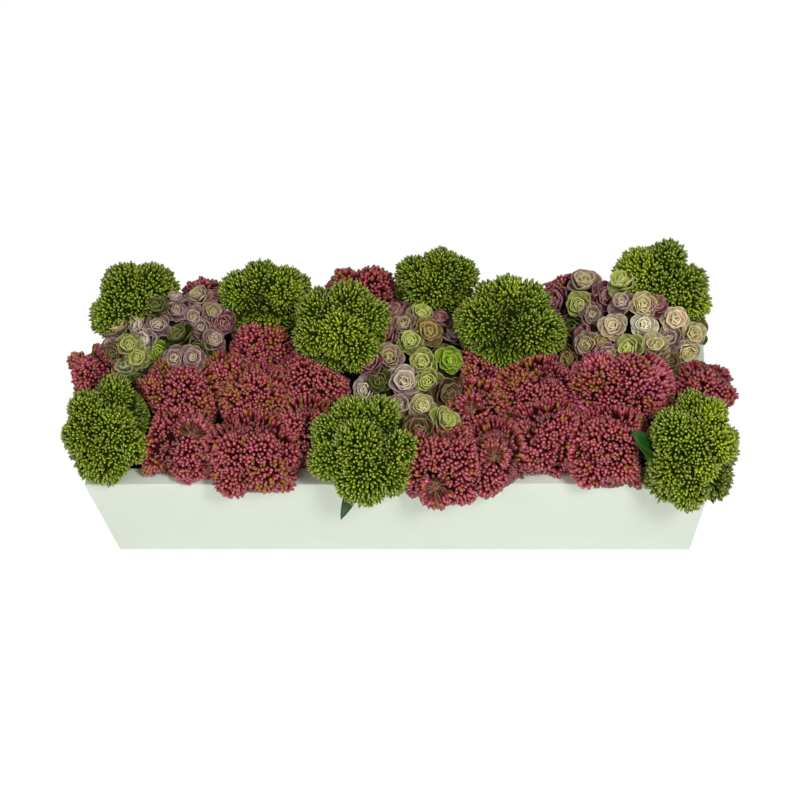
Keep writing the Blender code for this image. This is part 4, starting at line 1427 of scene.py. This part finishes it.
def make_rosette(place, way, size, petal, count, rolls):
    """Corners of one rosette, the rank and the tone of each: cupped petals in whorls, over a spread skirt."""
    verts, ranks, tones = [], [], []
    yaw = rolls.uniform(*ANY_TURN)
    for row, (fewer, pitch, length, foot) in enumerate(WHORLS):
        petals = count - fewer
        yaw += math.pi / petals
        for k in range(petals):
            turn = yaw + 2 * math.pi * k / petals + rolls.normal(0, PETAL_TURN_SPREAD)
            raised = PITCH_STEP * (k % 2) + rolls.normal(0, PETAL_PITCH_SPREAD)
            tilt = np.array(Matrix.Rotation(math.radians(pitch) + raised, 3, "X"))
            spin = np.array(Matrix.Rotation(turn, 3, "Z"))
            # petals overlap round the whorl, so every other one lies a little higher
            lift = size * (foot + PETAL_LIFT * (k % 2))
            scale = size * length * rolls.uniform(*PETAL_LENGTH_DRAW)
            verts.append(((petal.verts * scale) @ tilt.T + np.array([0, PETAL_OUT * size, lift])) @ spin.T)
            ranks.append(np.full(len(petal.verts), row / (len(WHORLS) - 1)))
            tones.append(np.full(len(petal.verts), rolls.uniform(0, 1)))
    turn = facing(np.array([way]), np.array([0.0]))[0]
    return np.concatenate(verts) @ turn.T + np.array(place), np.concatenate(ranks), np.concatenate(tones)


def rosette_facing(way, rolls):
    """Direction of a rosette: out of its sprig, leaning to the front as the whole bed does."""
    lean = Vector(rolls.normal(0, FACING_SPREAD, 3))
    return (SPRIG_FACING * way + BED_SHARE * BED_FACING + lean).normalized()


def model_mound(sprig, material):
    """The dark leafy middle of a sprig."""
    rolls = np.random.default_rng(sprig.turn)

    def offsets(directions):
        reach = MOUND_SHARE * SPRIG_RADIUS * rolls.uniform(*MOUND_DRAW, len(directions))
        return directions * reach[:, None]

    return model_core(sprig, MOUND_FINENESS, offsets, 0, material)


def make_sprig(sprig, rosettes, petal, settings, materials):
    """One sprig: its rosettes on short stalks that branch from a stem, over a dark mound."""
    rolls = np.random.default_rng(round(SEED_STEP * abs(sprig.centre[0] + 2 * sprig.centre[1])))
    centre = Vector(sprig.centre)
    paths = [stem_path(sprig, centre)]
    along = np.clip(petal.verts[:, 1], 0, 1)
    sides = np.abs(petal.verts[:, 0]) / np.array([petal_half_width(share) for share in along])
    edges = np.clip(np.maximum(sides, (along - RIM_FROM) / (1 - RIM_FROM)), 0, 1)
    corners = []
    layers = {"petal": [], "inner_tint": [], "outer_tint": [], "rim_tint": []}
    for place, way, size, tint in rosettes:
        way = rosette_facing(way, rolls)
        place = place - ROSETTE_DEPTH * size * way
        own_corners, ranks, tones = make_rosette(place, way, size, petal, settings.petals, rolls)
        corners.append(own_corners)
        petals = np.tile(np.stack((along, edges), axis=1), (len(own_corners) // len(petal.verts), 1))
        layers["petal"].append(np.column_stack((petals, ranks, tones)))
        for name, colour in zip(("inner_tint", "outer_tint", "rim_tint"), ROSETTE_TINTS[tint]):
            layers[name].append(np.tile((*colour, 1), (len(own_corners), 1)))
        paths.append(branch(centre, place, STALK_RADII))
    layers = {name: np.concatenate(parts) for name, parts in layers.items()}
    petals = add_copies(sprig.node + "_petals", np.concatenate(corners), petal, materials["petal"], **layers)
    stalks = grow_stalks(sprig.node + "_stalks", paths, materials["stalk"])
    mound = model_mound(sprig, materials["heart"])
    hand_over(join_pieces([petals, stalks, mound], sprig.node + "_plant"), "rosettes", sprig.node)


def rosette_size(index, places):
    """Radius of a rosette, from the room to its nearest neighbour."""
    place = places[index][1]
    nearest = min((place - other[1]).length for i, other in enumerate(places) if i != index)
    return max(SMALLEST_ROSETTE, min(LARGEST_ROSETTE, ROSETTE_SHARE * nearest))


# Stage

def floor_finish(settings):
    """White paper that the camera sees evenly lit."""
    material, tree, shader = new_finish("floor_paper", roughness=0.9)
    shader.inputs["Base Color"].default_value = (*settings.floor, 1)
    show_even_white(tree, shader.outputs[0], tree.nodes["Material Output"].inputs["Surface"],
                    "ShaderNodeEmission")
    return material


def soft_room(settings):
    """White light from all sides, which the camera sees as plain white."""
    world = bpy.data.worlds.new("soft_room")
    world.use_nodes = True
    tree = world.node_tree
    light = tree.nodes["Background"]
    light.inputs["Color"].default_value = (1, 1, 1, 1)
    light.inputs["Strength"].default_value = settings.sky
    show_even_white(tree, light.outputs[0], tree.nodes["World Output"].inputs["Surface"], "ShaderNodeBackground")
    return world


def show_even_white(tree, shader, output, kind):
    """Show the camera an even white, and everything else the shader."""
    path = add_node(tree, "ShaderNodeLightPath")
    white = add_node(tree, kind)
    white.inputs["Color"].default_value = (1, 1, 1, 1)
    white.inputs["Strength"].default_value = 1
    mix = add_node(tree, "ShaderNodeMixShader")
    tree.links.new(path.outputs["Is Camera Ray"], mix.inputs[0])
    tree.links.new(shader, mix.inputs[1])
    tree.links.new(white.outputs[0], mix.inputs[2])
    tree.links.new(mix.outputs[0], output)


def add_lamp(name, location, size, power):
    """A soft square lamp aimed at the plants."""
    bpy.ops.object.light_add(type="AREA", location=location)
    lamp = bpy.context.object
    lamp.name = name
    lamp.data.energy = power
    lamp.data.size = size
    lamp.rotation_euler = (LAMP_TARGET - lamp.location).to_track_quat("-Z", "Y").to_euler()


# Steps, each with its settings, and the panel that shows them

class GARDEN_OT_planter(bpy.types.Operator):
    """Model the tapered planter and finish the foam block inside it"""
    bl_idname = "garden.planter"
    bl_label = "Planter and foam"

    def execute(self, context):
        settings = context.scene.garden_planter
        hand_over(model_planter(settings), "planter", "planter")
        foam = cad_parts["foam_block"]
        foam.data.materials.clear()
        foam.data.materials.append(foam_finish(settings))
        return {"FINISHED"}


class GARDEN_OT_green_heads(bpy.types.Operator):
    """Model the green sedum heads"""
    bl_idname = "garden.green_heads"
    bl_label = "Green sedum heads"

    def execute(self, context):
        settings = context.scene.garden_green
        shapes = {"bud": model_bud(settings.bud_length, settings.bud_width, GREEN_BUD_RINGS)}
        materials = {
            "bud": bud_finish("green_buds", settings, settings.neck, roughness=0.15, tip_from=0.81),
            "heart": plain_plant_finish("green_heart", settings.heart, roughness=0.9),
            "stalk": plain_plant_finish("green_stalk", settings.neck, roughness=0.6),
            "leaf": leaf_finish(settings),
        }
        make_heads(GREEN_HEADS, GREEN_UMBELS, GREEN_BLOOM, settings, shapes, materials, "green_sedum")
        return {"FINISHED"}


class GARDEN_OT_pink_heads(bpy.types.Operator):
    """Model the pink sedum heads"""
    bl_idname = "garden.pink_heads"
    bl_label = "Pink sedum heads"

    def execute(self, context):
        settings = context.scene.garden_pink
        shapes = {
            "bud": model_bud(settings.bud_length, settings.bud_width, PINK_BUD_RINGS),
            "open_bud": model_bud(OPEN_LENGTH * settings.bud_length, settings.bud_width, OPEN_BUD_RINGS),
        }
        materials = {
            "bud": bud_finish("pink_buds", settings, settings.neck, roughness=0.28, tip_from=0.80),
            "open_bud": bud_finish("pink_open_buds", settings, settings.stalk, roughness=0.38, tip_from=0.78),
            "heart": plain_plant_finish("pink_heart", settings.heart, roughness=0.9),
            "stalk": plain_plant_finish("pink_stalk", settings.neck, roughness=0.6),
        }
        make_heads(PINK_HEADS, PINK_UMBELS, PINK_BLOOM, settings, shapes, materials, "pink_sedum")
        return {"FINISHED"}


class GARDEN_OT_rosettes(bpy.types.Operator):
    """Model the sprigs of small rosettes"""
    bl_idname = "garden.rosettes"
    bl_label = "Rosette sprigs"

    def execute(self, context):
        settings = context.scene.garden_rosettes
        petal = model_petal(settings)
        materials = {"petal": petal_finish(),
                     "heart": plain_plant_finish("rosette_heart", settings.heart, roughness=0.8),
                     "stalk": plain_plant_finish("rosette_stalk", settings.stalk, roughness=0.6)}
        rosettes = place_rosettes()
        for sprig in SPRIGS:
            own = [(place, way, rosette_size(i, rosettes), tint)
                   for i, (owner, place, way, tint) in enumerate(rosettes) if owner is sprig]
            make_sprig(sprig, own, petal, settings, materials)
        return {"FINISHED"}


class GARDEN_OT_stage(bpy.types.Operator):
    """Set the floor, the soft light and the camera"""
    bl_idname = "garden.stage"
    bl_label = "Stage"

    def execute(self, context):
        settings = context.scene.garden_stage
        deselect_all()
        bpy.ops.mesh.primitive_plane_add(size=FLOOR_SIZE, location=(0, 0, 0))
        floor = bpy.context.object
        floor.name = "floor"
        floor.data.materials.append(floor_finish(settings))
        context.scene.world = soft_room(settings)
        for name, (location, size, share) in LAMPS.items():
            add_lamp(name, location, size, share * settings.key)

        right, up, forward, eye = camera_axes()
        bpy.ops.object.camera_add(location=eye)
        camera = context.object
        camera.name = "camera"
        turn = Matrix((right, up, -forward)).transposed()
        camera.rotation_euler = turn.to_euler()
        camera.data.lens = CAMERA_LENS
        camera.data.sensor_width = SENSOR_WIDTH
        context.scene.camera = camera
        context.scene.view_settings.view_transform = "Standard"
        return {"FINISHED"}


class GARDEN_PT_panel(bpy.types.Panel):
    bl_label = "Dish garden"
    bl_idname = "GARDEN_PT_panel"
    bl_space_type = "VIEW_3D"
    bl_region_type = "UI"
    bl_category = "Dish garden"

    def draw(self, context):
        for operator, settings_name in STEPS:
            box = self.layout.box()
            box.operator(operator.bl_idname)
            settings = getattr(context.scene, settings_name)
            for field in settings.bl_rna.properties.keys():
                if field not in ("rna_type", "name"):
                    box.prop(settings, field)


STEPS = [
    (GARDEN_OT_planter, "garden_planter"),
    (GARDEN_OT_green_heads, "garden_green"),
    (GARDEN_OT_pink_heads, "garden_pink"),
    (GARDEN_OT_rosettes, "garden_rosettes"),
    (GARDEN_OT_stage, "garden_stage"),
]
SETTINGS = {
    "garden_planter": PlanterSettings,
    "garden_green": GreenSedumSettings,
    "garden_pink": PinkSedumSettings,
    "garden_rosettes": RosetteSettings,
    "garden_stage": StageSettings,
}


def register():
    for name, settings in SETTINGS.items():
        bpy.utils.register_class(settings)
        setattr(bpy.types.Scene, name, PointerProperty(type=settings))
    for operator, _ in STEPS:
        bpy.utils.register_class(operator)
    bpy.utils.register_class(GARDEN_PT_panel)


def unregister():
    bpy.utils.unregister_class(GARDEN_PT_panel)
    for operator, _ in reversed(STEPS):
        bpy.utils.unregister_class(operator)
    for name, settings in SETTINGS.items():
        delattr(bpy.types.Scene, name)
        bpy.utils.unregister_class(settings)


def main():
    register()
    bpy.ops.garden.planter()
    bpy.ops.garden.green_heads()
    bpy.ops.garden.pink_heads()
    bpy.ops.garden.rosettes()
    bpy.ops.garden.stage()


if __name__ == "__main__":
    main()
